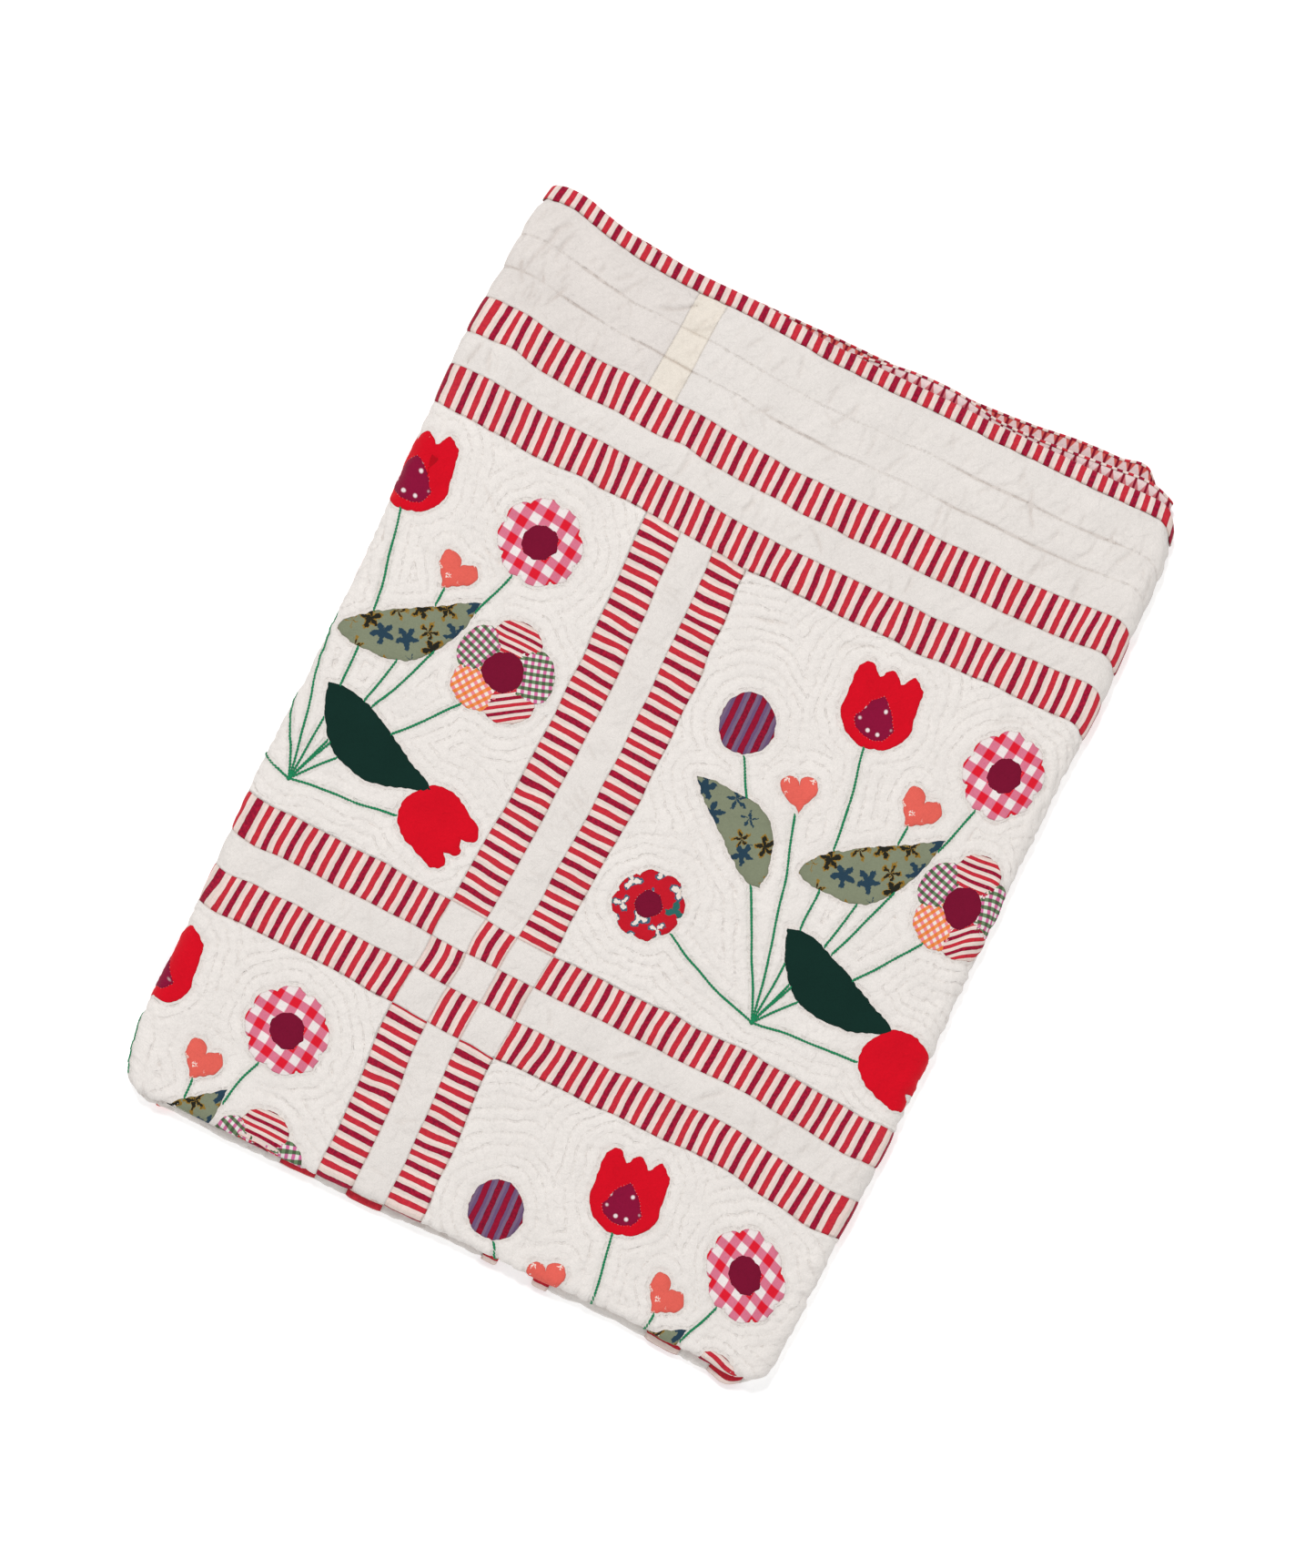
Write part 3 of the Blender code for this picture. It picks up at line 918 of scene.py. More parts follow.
def sheetPart():
    rim = sheet["rim"]
    thinned = bundle["edgeThin"][1]
    edges = (thinned, fullWidth - thinned, 972.8, *zoneLines)

    def acrossStep(place):
        if inFold(place):
            return 2.2
        return 4.0 if min(place, fullWidth - place) < thinned else sheet["acrossStep"]

    def downStep(place):
        if footZone[0] < place < footZone[1]:
            return 1.2
        return 3.0 if min(place, fullLength - place) < thinned else sheet["downStep"]

    us = between(rim, fullWidth - rim, edges, acrossStep)
    vs = between(rim, fullLength - rim, (thinned, *footZone, fullLength - thinned), downStep)
    u, v = np.meshgrid(us, vs)
    rows, columns = u.shape
    u, v = u.ravel(), v.ravel()
    half = halfThickness(u, v)
    sunk = sheet["backSink"] * (1 + np.clip(sampled(wobbleV, u, v), -1, 1))
    flapSink = patchwork["flapSink"] * under(u)
    front = foldPoint(u, v, np.maximum(half - sheet["frontUnder"] - flapSink, -1.0))
    back = foldPoint(u, v, -half + sunk)
    ring = gridRing(rows, columns)
    ring2 = np.roll(ring, -1)
    start = rows * columns
    quads = gridQuads(rows, columns)
    skirt = np.stack([ring, ring + start, ring2 + start, ring2], -1)
    flat = np.stack([u, v], -1)
    return {
        "fabric": "backing",
        "lining": ("blockMuslin", len(quads)),  # the side that the patchwork lies on
        "points": np.concatenate([front, back]),
        "quads": np.concatenate([quads, quads[:, ::-1] + start, skirt]),
        "flat": np.concatenate([flat, flat]),
    }


# The bindings: folded over the edge, wider on the patched side. Each point of the section
# is its distance in from the edge and its height over the sheet's middle.
bindingSection = (
    (17.0, 3.3),
    (16.2, 3.85),
    (14.0, 4.0),
    (10.0, 4.05),
    (6.0, 4.0),
    (3.0, 3.8),
    (1.3, 3.1),
    (0.35, 1.9),
    (0.0, 0.4),
    (0.0, -1.2),
    (0.4, -2.7),
    (1.3, -3.4),
    (2.8, -3.3),
    (2.8, -2.8),
    (1.2, -2.4),
    (1.0, 0.0),
    (1.2, 2.2),
    (16.0, 2.6),
)
bindings = {
    "bindingHead": {"node": "binding_head", "across": True, "far": False},
    "bindingFoot": {"node": "binding_foot", "across": True, "far": True},
    "bindingLeft": {"node": "binding_left", "across": False, "far": False},
    "bindingRight": {"node": "binding_right", "across": False, "far": True},
}


def bindingPart(place):
    section = np.array(bindingSection)
    length = fullWidth if place["across"] else fullLength
    gap = 0.6 if place["across"] else 17.8  # the side bindings stop at the others

    def step(at):
        if place["across"]:
            return 2.0 if patchwork["fineAcross"][0] < at < patchwork["fineAcross"][1] else 5.0
        return 1.2 if footZone[0] < at < footZone[1] else 7.0

    stops = zoneLines if place["across"] else footZone
    along = between(gap, length - gap, stops, step)
    rng = np.random.default_rng(50 + 2 * place["across"] + place["far"])
    ripple = np.interp(along, np.arange(0, length + 9, 9.0), rng.normal(size=int(length / 9) + 2))
    fromEdge = section[None, :, 0] * (1 + 0.02 * ripple[:, None]) + 0 * along[:, None]
    height = section[None, :, 1] * (1 - 0.035 * np.abs(ripple[:, None]))
    run = along[:, None] + 0 * fromEdge
    cut = fromEdge
    if place["far"]:
        cut = (fullLength if place["across"] else fullWidth) - fromEdge
    u, v = (run, cut) if place["across"] else (cut, run)
    points = foldPoint(u, v, height).reshape(-1, 3)
    rows, columns = run.shape
    i, j = np.mgrid[0:rows - 1, 0:columns]
    j2 = (j + 1) % columns
    quads = np.stack([i * columns + j, (i + 1) * columns + j, (i + 1) * columns + j2, i * columns + j2], -1)
    flat = np.stack([run, runLengths(section)[None, :] + 0 * run], -1).reshape(-1, 2)
    return {
        "fabric": "bindingStripe",
        "points": points,
        "quads": quads.reshape(-1, 4),
        "triangles": sectionEnds(section, columns, rows),
        "flat": flat,
        # painted shade along the binding's inner edge, where it meets the border
        "stitched": np.tile(np.where(section[:, 0] > 16.1, 0.8, 0.0), rows),
    }


def sectionEnds(section, columns, rows):
    # the two ends of a binding, closed
    base = filled(section)
    onwards = np.roll(section, -1, axis=0)
    if np.sum(section[:, 0] * onwards[:, 1] - onwards[:, 0] * section[:, 1]) < 0:
        base = base[:, ::-1]
    return np.concatenate([base, base[:, ::-1] + (rows - 1) * columns])


# Finishes. Colours are given as they look in even light.
def linear(code):
    channels = [int(code[k:k + 2], 16) / 255 for k in (1, 3, 5)]
    return (*[c / 12.92 if c <= 0.04045 else ((c + 0.055) / 1.055) ** 2.4 for c in channels], 1.0)


def addNode(tree, kind, settings, values):
    # a node with its settings; each input is linked, or set to a number, vector or colour
    node = tree.nodes.new(kind)
    for key, value in settings.items():
        setattr(node, key, value)
    for key, value in values.items():
        if isinstance(value, bpy.types.NodeSocket):
            tree.links.new(value, node.inputs[key])
        else:
            node.inputs[key].default_value = linear(value) if isinstance(value, str) else value
    return node


# Settings that many nodes share. Where inputs have numbers, Map Range takes the value at 0,
# its range at 1 and 2 and the new range at 3 and 4; Mix takes the share at 0 and two colours
# at 6 and 7, and gives a colour at 2.
inColour = {"data_type": "RGBA"}
times = {"operation": "MULTIPLY"}
minus = {"operation": "SUBTRACT"}
timesPlus = {"operation": "MULTIPLY_ADD"}
scaled = {"operation": "SCALE"}
floored = {"operation": "FLOOR"}

# what all the cottons share, unless a look says otherwise
cotton = {
    "low": 0.94,  # the darkest of its uneven tones
    "grain": 0.07,
    # share of painted shade, with a little dust, in stitched lines, seams, creases, edges and rows
    "soil": 0.45,
    "rowShade": 0.17,
    "rowRelief": 0.9,
    "weaveRelief": 0.35,
    "crinkle": 0.7,
    "roughness": 0.9,
    "specular": 0.08,
    "sheen": 0.06,
}


def clothMaterial(name, ownLook, paint):
    # woven cotton: soft, matt, a thread's relief, never quite one colour
    look = {**cotton, **ownLook}
    material = bpy.data.materials.new(name)
    material.use_nodes = True
    tree = material.node_tree
    tree.nodes.clear()
    place = addNode(tree, "ShaderNodeUVMap", {"uv_map": "flat"}, {}).outputs["UV"]
    colour = paint(tree, place, look)
    cloud = addNode(tree, "ShaderNodeTexNoise", {}, {"Vector": place, "Scale": 26.0, "Detail": 4.0})
    cloudy = addNode(tree, "ShaderNodeMapRange", {}, {
        0: cloud.outputs["Fac"],
        1: 0.3,
        2: 0.7,
        3: look["low"],
        4: 1.04,
    })
    # threads are 0.3 mm in the real cloth; these are 0.8 mm, the finest that shows
    threads = []
    for scale in ((260.0, 1250.0, 1.0), (1250.0, 260.0, 1.0)):
        stretched = addNode(tree, "ShaderNodeVectorMath", times, {0: place, 1: scale})
        thread = addNode(tree, "ShaderNodeTexNoise", {}, {
            "Vector": stretched.outputs[0],
            "Scale": 1.0,
            "Detail": 2.0,
        })
        threads.append(thread.outputs["Fac"])
    weave = addNode(tree, "ShaderNodeMath", {"operation": "ADD"}, {0: threads[0], 1: threads[1]}).outputs[0]
    grain = addNode(tree, "ShaderNodeMapRange", {}, {
        0: weave,
        1: 0.7,
        2: 1.3,
        3: 1 - look["grain"],
        4: 1 + look["grain"],
    })
    uneven = addNode(tree, "ShaderNodeMath", times, {0: cloudy.outputs[0], 1: grain.outputs[0]})
    toned = addNode(tree, "ShaderNodeVectorMath", scaled, {0: colour, "Scale": uneven.outputs[0]})
    # stitched lines, seams, creases and edges get painted shade with a little dust; a quilted
    # row is where the row count is whole, and its thread pulls the cloth in more at some
    # stitches than at others, shown as a bump and as more painted shade
    depth = addNode(tree, "ShaderNodeAttribute", {"attribute_name": "stitched"}, {}).outputs["Fac"]
    counted = addNode(tree, "ShaderNodeAttribute", {"attribute_name": "rowCount"}, {}).outputs["Fac"]
    toRow = addNode(tree, "ShaderNodeMath", {"operation": "PINGPONG"}, {0: counted, 1: 0.5}).outputs[0]
    onRow = addNode(tree, "ShaderNodeMapRange", {"interpolation_type": "SMOOTHSTEP"}, {
        0: toRow,
        1: 0.03,
        2: 0.16,
        3: 1.0,
        4: 0.0,
    }).outputs[0]
    pulls = addNode(tree, "ShaderNodeTexNoise", {"noise_dimensions": "2D"}, {
        "Vector": place,
        "Scale": 210.0,
        "Detail": 1.0,
    })
    pull = addNode(tree, "ShaderNodeMapRange", {}, {
        0: pulls.outputs["Fac"],
        1: 0.4,
        2: 0.6,
        3: 0.2,
        4: 1.0,
    }).outputs[0]
    tight = addNode(tree, "ShaderNodeMapRange", {}, {
        0: cloud.outputs["Fac"],
        1: 0.38,
        2: 0.6,
        3: 0.3,
        4: 1.0,
    }).outputs[0]
    pulled = addNode(tree, "ShaderNodeMath", times, {0: onRow, 1: pull}).outputs[0]
    pulled = addNode(tree, "ShaderNodeMath", times, {0: pulled, 1: tight}).outputs[0]
    dark = addNode(tree, "ShaderNodeMath", timesPlus, {
        0: pulled,
        1: look["rowShade"],
        2: depth,
    }).outputs[0]
    share = addNode(tree, "ShaderNodeMath", {"operation": "MULTIPLY", "use_clamp": True}, {
        0: dark,
        1: look["soil"],
    })
    # painted shade with a little dust: the colour is darkened towards a brownish grey
    shadedAndSoiled = addNode(tree, "ShaderNodeMix", {"data_type": "RGBA", "blend_type": "MULTIPLY"}, {
        0: share.outputs[0],
        6: toned.outputs[0],
        7: "#a08878",
    })
    woven = addNode(tree, "ShaderNodeBump", {}, {
        "Strength": look["weaveRelief"],
        "Distance": 0.4 * mm,
        "Height": weave,
    })
    # the wash has left crinkles 3 to 6 mm wide, finer than the mesh
    crinkle = addNode(tree, "ShaderNodeTexNoise", {"noise_dimensions": "2D"}, {
        "Vector": place,
        "Scale": 150.0,
        "Detail": 3.0,
        "Roughness": 0.55,
        "Distortion": 0.6,
    })
    crinkled = addNode(tree, "ShaderNodeBump", {}, {
        "Strength": look["crinkle"],
        "Distance": 1.6 * mm,
        "Height": crinkle.outputs["Fac"],
        "Normal": woven.outputs["Normal"],
    })
    bump = addNode(tree, "ShaderNodeBump", {"invert": True}, {
        "Strength": look["rowRelief"],
        "Distance": 0.7 * mm,
        "Height": pulled,
        "Normal": crinkled.outputs["Normal"],
    })
    shader = addNode(tree, "ShaderNodeBsdfPrincipled", {}, {
        "Base Color": shadedAndSoiled.outputs[2],
        "Roughness": look["roughness"],
        "Specular IOR Level": look["specular"],
        "Sheen Weight": look["sheen"],
        "Sheen Roughness": 0.5,
        "Normal": bump.outputs["Normal"],
    })
    finish = addNode(tree, "ShaderNodeOutputMaterial", {}, {})
    tree.links.new(shader.outputs[0], finish.inputs[0])
    return material


def stripes(tree, along, period, share, edge, waver):
    # how far each place is in a stripe, how near its rim, and which of two kinds it is
    turns = addNode(tree, "ShaderNodeMath", timesPlus, {
        0: along,
        1: 1 / (period * mm),
        2: waver,
    }).outputs[0]
    part = addNode(tree, "ShaderNodeMath", {"operation": "FRACT"}, {0: turns}).outputs[0]
    off = addNode(tree, "ShaderNodeMath", minus, {0: part, 1: 0.5}).outputs[0]
    off = addNode(tree, "ShaderNodeMath", {"operation": "ABSOLUTE"}, {0: off}).outputs[0]
    body = addNode(tree, "ShaderNodeMapRange", {"interpolation_type": "SMOOTHSTEP"}, {
        0: off,
        1: share / 2 - edge,
        2: share / 2 + edge,
        3: 1.0,
        4: 0.0,
    }).outputs[0]
    rim = addNode(tree, "ShaderNodeMath", minus, {0: off, 1: share / 2 - edge}).outputs[0]
    rim = addNode(tree, "ShaderNodeMath", {"operation": "ABSOLUTE"}, {0: rim}).outputs[0]
    rim = addNode(tree, "ShaderNodeMapRange", {}, {
        0: rim,
        1: 0.0,
        2: edge * 1.6,
        3: 1.0,
        4: 0.0,
    }).outputs[0]
    kind = addNode(tree, "ShaderNodeMath", floored, {0: turns}).outputs[0]
    kind = addNode(tree, "ShaderNodeMath", {"operation": "FLOORED_MODULO"}, {0: kind, 1: 2.0}).outputs[0]
    return body, rim, kind


def paintPlain(tree, place, look):
    even = addNode(tree, "ShaderNodeRGB", {}, {})
    even.outputs[0].default_value = linear(look["colour"])
    return even.outputs[0]


def paintStripes(tree, place, look):
    # printed stripes with a wavering edge, one bright and one dark in turn
    axes = addNode(tree, "ShaderNodeSeparateXYZ", {}, {0: place})
    shiver = addNode(tree, "ShaderNodeTexNoise", {}, {
        "Vector": place,
        "Scale": 85.0,
        "Detail": 3.0,
        "Roughness": 0.6,
    })
    waver = addNode(tree, "ShaderNodeMapRange", {}, {
        0: shiver.outputs["Fac"],
        1: 0.25,
        2: 0.75,
        3: -look["waver"],
        4: look["waver"],
    }).outputs[0]
    across = axes.outputs[look["axis"]]
    body, rim, kind = stripes(tree, across, look["period"], look["share"], look["edge"], waver)
    blotches = addNode(tree, "ShaderNodeTexNoise", {}, {
        "Vector": place,
        "Scale": 330.0,
        "Detail": 3.0,
        "Roughness": 0.7,
    })
    patchy = addNode(tree, "ShaderNodeMapRange", {}, {
        0: blotches.outputs["Fac"],
        1: 0.38,
        2: 0.62,
    }).outputs[0]
    dark = addNode(tree, "ShaderNodeMix", inColour, {
        0: patchy,
        6: look["dark"],
        7: look["darkest"],
    }).outputs[2]
    bright = addNode(tree, "ShaderNodeMix", inColour, {
        0: patchy,
        6: look["bright"],
        7: look["brightest"],
    }).outputs[2]
    ink = addNode(tree, "ShaderNodeMix", inColour, {0: kind, 6: bright, 7: dark}).outputs[2]
    rimmed = addNode(tree, "ShaderNodeMath", times, {0: rim, 1: look["rim"]}).outputs[0]
    ink = addNode(tree, "ShaderNodeMix", {"data_type": "RGBA", "blend_type": "MULTIPLY"}, {
        0: rimmed,
        6: ink,
        7: look["outline"],
    }).outputs[2]
    ground = addNode(tree, "ShaderNodeMix", inColour, {
        0: kind,
        6: look["ground"],
        7: look["otherGround"],
    }).outputs[2]
    return addNode(tree, "ShaderNodeMix", inColour, {0: body, 6: ground, 7: ink}).outputs[2]


def paintCheck(tree, place, look):
    # woven check: bands both ways, deepest where they cross
    axes = addNode(tree, "ShaderNodeSeparateXYZ", {}, {0: place})
    across = stripes(tree, axes.outputs[0], look["period"], look["share"], look["edge"], 0.0)[0]
    down = stripes(tree, axes.outputs[1], look["period"], look["share"], look["edge"], 0.0)[0]
    first = addNode(tree, "ShaderNodeMix", inColour, {
        0: across,
        6: look["ground"],
        7: look["across"],
    }).outputs[2]
    second = addNode(tree, "ShaderNodeMix", inColour, {
        0: across,
        6: look["down"],
        7: look["crossing"],
    }).outputs[2]
    return addNode(tree, "ShaderNodeMix", inColour, {0: down, 6: first, 7: second}).outputs[2]


def paintDots(tree, place, look):
    # small round printed spots
    cells = addNode(tree, "ShaderNodeTexVoronoi", {}, {
        "Vector": place,
        "Scale": 1000 / look["period"],
        "Randomness": look["scatter"],
    })
    spot = addNode(tree, "ShaderNodeMapRange", {"interpolation_type": "SMOOTHSTEP"}, {
        0: cells.outputs["Distance"],
        1: look["spot"] - 0.08,
        2: look["spot"] + 0.08,
        3: 1.0,
        4: 0.0,
    }).outputs[0]
    return addNode(tree, "ShaderNodeMix", inColour, {
        0: spot,
        6: look["colour"],
        7: look["spots"],
    }).outputs[2]


def paintBacking(tree, place, look):
    # lines with a row of small triangles between them
    axes = addNode(tree, "ShaderNodeSeparateXYZ", {}, {0: place})
    lines = stripes(tree, axes.outputs[0], look["period"], look["line"], 0.04, 0.0)[0]
    acrossPart = addNode(tree, "ShaderNodeMath", times, {
        0: axes.outputs[0],
        1: 1 / (look["period"] * mm),
    }).outputs[0]
    acrossPart = addNode(tree, "ShaderNodeMath", {"operation": "PINGPONG"}, {
        0: acrossPart,
        1: 0.5,
    }).outputs[0]
    downTurns = addNode(tree, "ShaderNodeMath", times, {
        0: axes.outputs[1],
        1: 1 / (look["period"] * mm),
    }).outputs[0]
    downPart = addNode(tree, "ShaderNodeMath", {"operation": "FRACT"}, {0: downTurns}).outputs[0]
    halfPart = addNode(tree, "ShaderNodeMath", times, {0: downPart, 1: 0.5}).outputs[0]
    gap = addNode(tree, "ShaderNodeMath", minus, {0: halfPart, 1: acrossPart}).outputs[0]
    corner = addNode(tree, "ShaderNodeMapRange", {}, {0: gap, 1: -0.04, 2: 0.04}).outputs[0]
    kind = addNode(tree, "ShaderNodeMath", floored, {0: downTurns}).outputs[0]
    kind = addNode(tree, "ShaderNodeMath", {"operation": "FLOORED_MODULO"}, {0: kind, 1: 2.0}).outputs[0]
    ink = addNode(tree, "ShaderNodeMix", inColour, {
        0: kind,
        6: look["first"],
        7: look["second"],
    }).outputs[2]
    shapes = addNode(tree, "ShaderNodeMix", inColour, {0: corner, 6: ink, 7: look["ground"]}).outputs[2]
    return addNode(tree, "ShaderNodeMix", inColour, {0: lines, 6: shapes, 7: look["lineColour"]}).outputs[2]


def paintPrint(tree, place, look):
    # a scattered print: lobed sprigs with ragged rims, some of them outlined
    ragged = addNode(tree, "ShaderNodeTexNoise", {}, {"Vector": place, "Scale": 260.0, "Detail": 2.0})
    shift = addNode(tree, "ShaderNodeVectorMath", scaled, {
        0: ragged.outputs["Color"],
        "Scale": look["ragged"] * mm,
    })
    moved = addNode(tree, "ShaderNodeVectorMath", {"operation": "ADD"}, {
        0: place,
        1: shift.outputs[0],
    }).outputs[0]
    cells = addNode(tree, "ShaderNodeTexVoronoi", {}, {
        "Vector": moved,
        "Scale": 1000 / look["period"],
        "Randomness": 0.6,
    })
    gap = cells.outputs["Distance"]
    toMiddle = addNode(tree, "ShaderNodeVectorMath", minus, {0: moved, 1: cells.outputs["Position"]})
    sides = addNode(tree, "ShaderNodeSeparateXYZ", {}, {0: toMiddle.outputs[0]})
    which = addNode(tree, "ShaderNodeSeparateXYZ", {}, {0: cells.outputs["Color"]})
    angle = addNode(tree, "ShaderNodeMath", {"operation": "ARCTAN2"}, {
        0: sides.outputs[1],
        1: sides.outputs[0],
    })
    swung = addNode(tree, "ShaderNodeMath", timesPlus, {0: which.outputs[1], 1: 6.3, 2: angle.outputs[0]})
    turns = addNode(tree, "ShaderNodeMath", times, {0: swung.outputs[0], 1: look["lobes"]})
    lobe = addNode(tree, "ShaderNodeMath", {"operation": "COSINE"}, {0: turns.outputs[0]}).outputs[0]
    reach = addNode(tree, "ShaderNodeMath", timesPlus, {
        0: lobe,
        1: 0.28 * look["spot"],
        2: 0.72 * look["spot"],
    }).outputs[0]
    over = addNode(tree, "ShaderNodeMath", minus, {0: gap, 1: reach}).outputs[0]
    sprig = addNode(tree, "ShaderNodeMapRange", {}, {0: over, 1: -0.02, 2: 0.02, 3: 1.0, 4: 0.0}).outputs[0]
    inLine = addNode(tree, "ShaderNodeMapRange", {}, {0: over, 1: -0.1, 2: -0.07}).outputs[0]
    drawn = addNode(tree, "ShaderNodeMix", inColour, {0: inLine, 6: look["dark"], 7: look["line"]})
    other = addNode(tree, "ShaderNodeMath", {"operation": "GREATER_THAN"}, {0: which.outputs[0], 1: 0.55})
    ink = addNode(tree, "ShaderNodeMix", inColour, {
        0: other.outputs[0],
        6: drawn.outputs[2],
        7: look["other"],
    })
    return addNode(tree, "ShaderNodeMix", inColour, {
        0: sprig,
        6: look["colour"],
        7: ink.outputs[2],
    }).outputs[2]


sashStripe = {
    "period": 12.2,  # from one stripe to the next
    "share": 0.5,
    "edge": 0.02,
    "waver": 0.035,
    "axis": 0,
    "bright": "#d2343e",
    "brightest": "#c02a3c",
    "dark": "#b41c3a",
    "darkest": "#861430",
    "outline": "#8c5060",
    "rim": 0.6,
    "ground": "#f0dad2",
    "otherGround": "#e6d3ca",
}
looks = {
    # plain cotton, washed thin: a soft white that has greyed on one side of the quilt
    "greyMuslin": (paintPlain, {"colour": "#e2dbd6", "low": 0.98}),
    "creamMuslin": (paintPlain, {"colour": "#ebe2d6", "low": 0.98}),
    "warmMuslin": (paintPlain, {"colour": "#e6e0db", "low": 0.98}),
    "blockMuslin": (paintPlain, {"colour": "#ece6e1", "low": 0.98, "crinkle": 0.8}),
    # a printed shirting: wavering red stripes on a pinkish ground
    "stripe": (paintStripes, sashStripe),
    "stripeTurned": (paintStripes, {**sashStripe, "axis": 1}),
    "bindingStripe": (paintStripes, {**sashStripe, "share": 0.52}),
    # a small geometric print, seen only at the head edge
    "backing": (paintBacking, {
        "period": 13.5,
        "line": 0.2,
        "first": "#d8625a",
        "second": "#d4787e",
        "ground": "#ecd6d4",
        "lineColour": "#8c1830",
    }),
    # scraps: printed and woven dress cottons, closer woven and brighter than the ground
    "sage": (paintPrint, {
        "colour": "#848a72",
        "period": 25.0,
        "spot": 0.52,
        "lobes": 5.0,
        "ragged": 7.0,
        "dark": "#26261f",
        "line": "#94722c",
        "other": "#2a4354",
    }),
    "green": (paintPlain, {"colour": "#112f28"}),
    "gingham": (paintCheck, {
        "period": 19.0,
        "share": 0.5,
        "edge": 0.03,
        "ground": "#f0e6e4",
        "across": "#dc7890",
        "down": "#dc7890",
        "crossing": "#e11e32",
    }),
    "burgundy": (paintPlain, {"colour": "#7a1030"}),
    "red": (paintPlain, {"colour": "#d80c22"}),
    "dotted": (paintDots, {
        "colour": "#8a1038",
        "period": 11.0,
        "spot": 0.19,
        "scatter": 0.35,
        "spots": "#f0e2e2",
    }),
    "coral": (paintPrint, {
        "colour": "#e8665a",
        "period": 13.0,
        "spot": 0.36,
        "lobes": 4.0,
        "ragged": 8.0,
        "dark": "#f6dcd2",
        "line": "#e8665a",
        "other": "#e8665a",
    }),
    "greenCheck": (paintCheck, {
        "period": 7.2,
        "share": 0.5,
        "edge": 0.06,
        "ground": "#ece6e2",
        "across": "#d76ea0",
        "down": "#6e8a64",
        "crossing": "#505f46",
    }),
    "orangeCheck": (paintCheck, {
        "period": 7.2,
        "share": 0.5,
        "edge": 0.06,
        "ground": "#f2e6e0",
        "across": "#f08c96",
        "down": "#f0965a",
        "crossing": "#f0823c",
    }),
    "redStripe": (paintStripes, {**sashStripe, "period": 7.0, "waver": 0.03}),
    "purpleStripe": (paintStripes, {
        **sashStripe,
        "period": 12.0,
        "waver": 0.04,
        "bright": "#a01432",
        "brightest": "#8c1432",
        "dark": "#a01432",
        "darkest": "#78102a",
        "ground": "#6e5578",
        "otherGround": "#7a6480",
    }),
    "redPrint": (paintPrint, {
        "colour": "#c81a2a",
        "period": 22.0,
        "spot": 0.5,
        "lobes": 3.0,
        "ragged": 6.0,
        "dark": "#efe2d8",
        "line": "#3c6478",
        "other": "#2f6a64",
    }),
}
fabrics = {}
for name, (paint, look) in looks.items():
    fabrics[name] = clothMaterial(name, look, paint)


def plainMaterial(name, colour, values):
    # one colour all over, with its values set on the shader's own sockets
    material = bpy.data.materials.new(name)
    material.use_nodes = True
    shader = material.node_tree.nodes["Principled BSDF"]
    shader.inputs["Base Color"].default_value = linear(colour)
    for key, value in values.items():
        shader.inputs[key].default_value = value
    return material


# cotton thread: plain, a little glossier than the cloth
threadValues = {"Roughness": 0.75, "Specular IOR Level": 0.2, "Sheen Weight": 0.1}
stemThread = plainMaterial("stemThread", "#0e8656", {**threadValues, "Roughness": 0.6})
quiltingThread = plainMaterial("quiltingThread", "#e8e0d6", threadValues)
whipThread = plainMaterial("whipThread", "#cdbfb8", threadValues)
print("finishes made:", len(fabrics) + 3)


# The pieces
quiltSheet = joinParts("quiltSheet", [sheetPart()], fabrics)
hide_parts("quilt")
print("sheet made:", len(quiltSheet.data.polygons), "faces")

groups = {}
for cell in cells:
    groups.setdefault(cell[0], []).append(cellPart(cell))
sewn = [joinParts(group, parts, fabrics) for group, parts in groups.items()]
print("patchwork made:", sum(len(piece.data.polygons) for piece in sewn), "faces")

bound = []
for name, place in bindings.items():
    binding = joinParts(name, [bindingPart(place)], fabrics)
    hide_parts(place["node"])
    bound.append(binding)
print("bindings made:", sum(len(piece.data.polygons) for piece in bound), "faces")


def patchShape(outline):
    # the points inside a patch on the flat, closer together where its edge turns under
    onwards = np.roll(outline, -1, axis=0) - np.roll(outline, 1, axis=0)
    onwards /= np.linalg.norm(onwards, axis=1)[:, None] + 1e-9
    inwards = np.stack([-onwards[:, 1], onwards[:, 0]], -1)
    step = spray["step"]
    low, high = outline.min(0), outline.max(0)
    across, down = np.arange(low[0], high[0], step), np.arange(low[1], high[1], step * 0.87)
    grid = np.stack(np.meshgrid(across, down), -1)
    grid[1::2, :, 0] += step / 2
    spots, gaps = [], []
    for points, least in (
        (outline + inwards * 0.5, 0.4),
        (outline + inwards * 1.4, 1.2),
        (grid.reshape(-1, 2), 1.4 + 0.45 * step),
    ):
        points = points[inside(points, outline)]
        gap = np.linalg.norm(points[:, None] - outline[None], axis=2).min(1)
        spots.append(points[gap > least])
        gaps.append(gap[gap > least])
    return outline, np.concatenate(spots), np.concatenate(gaps)


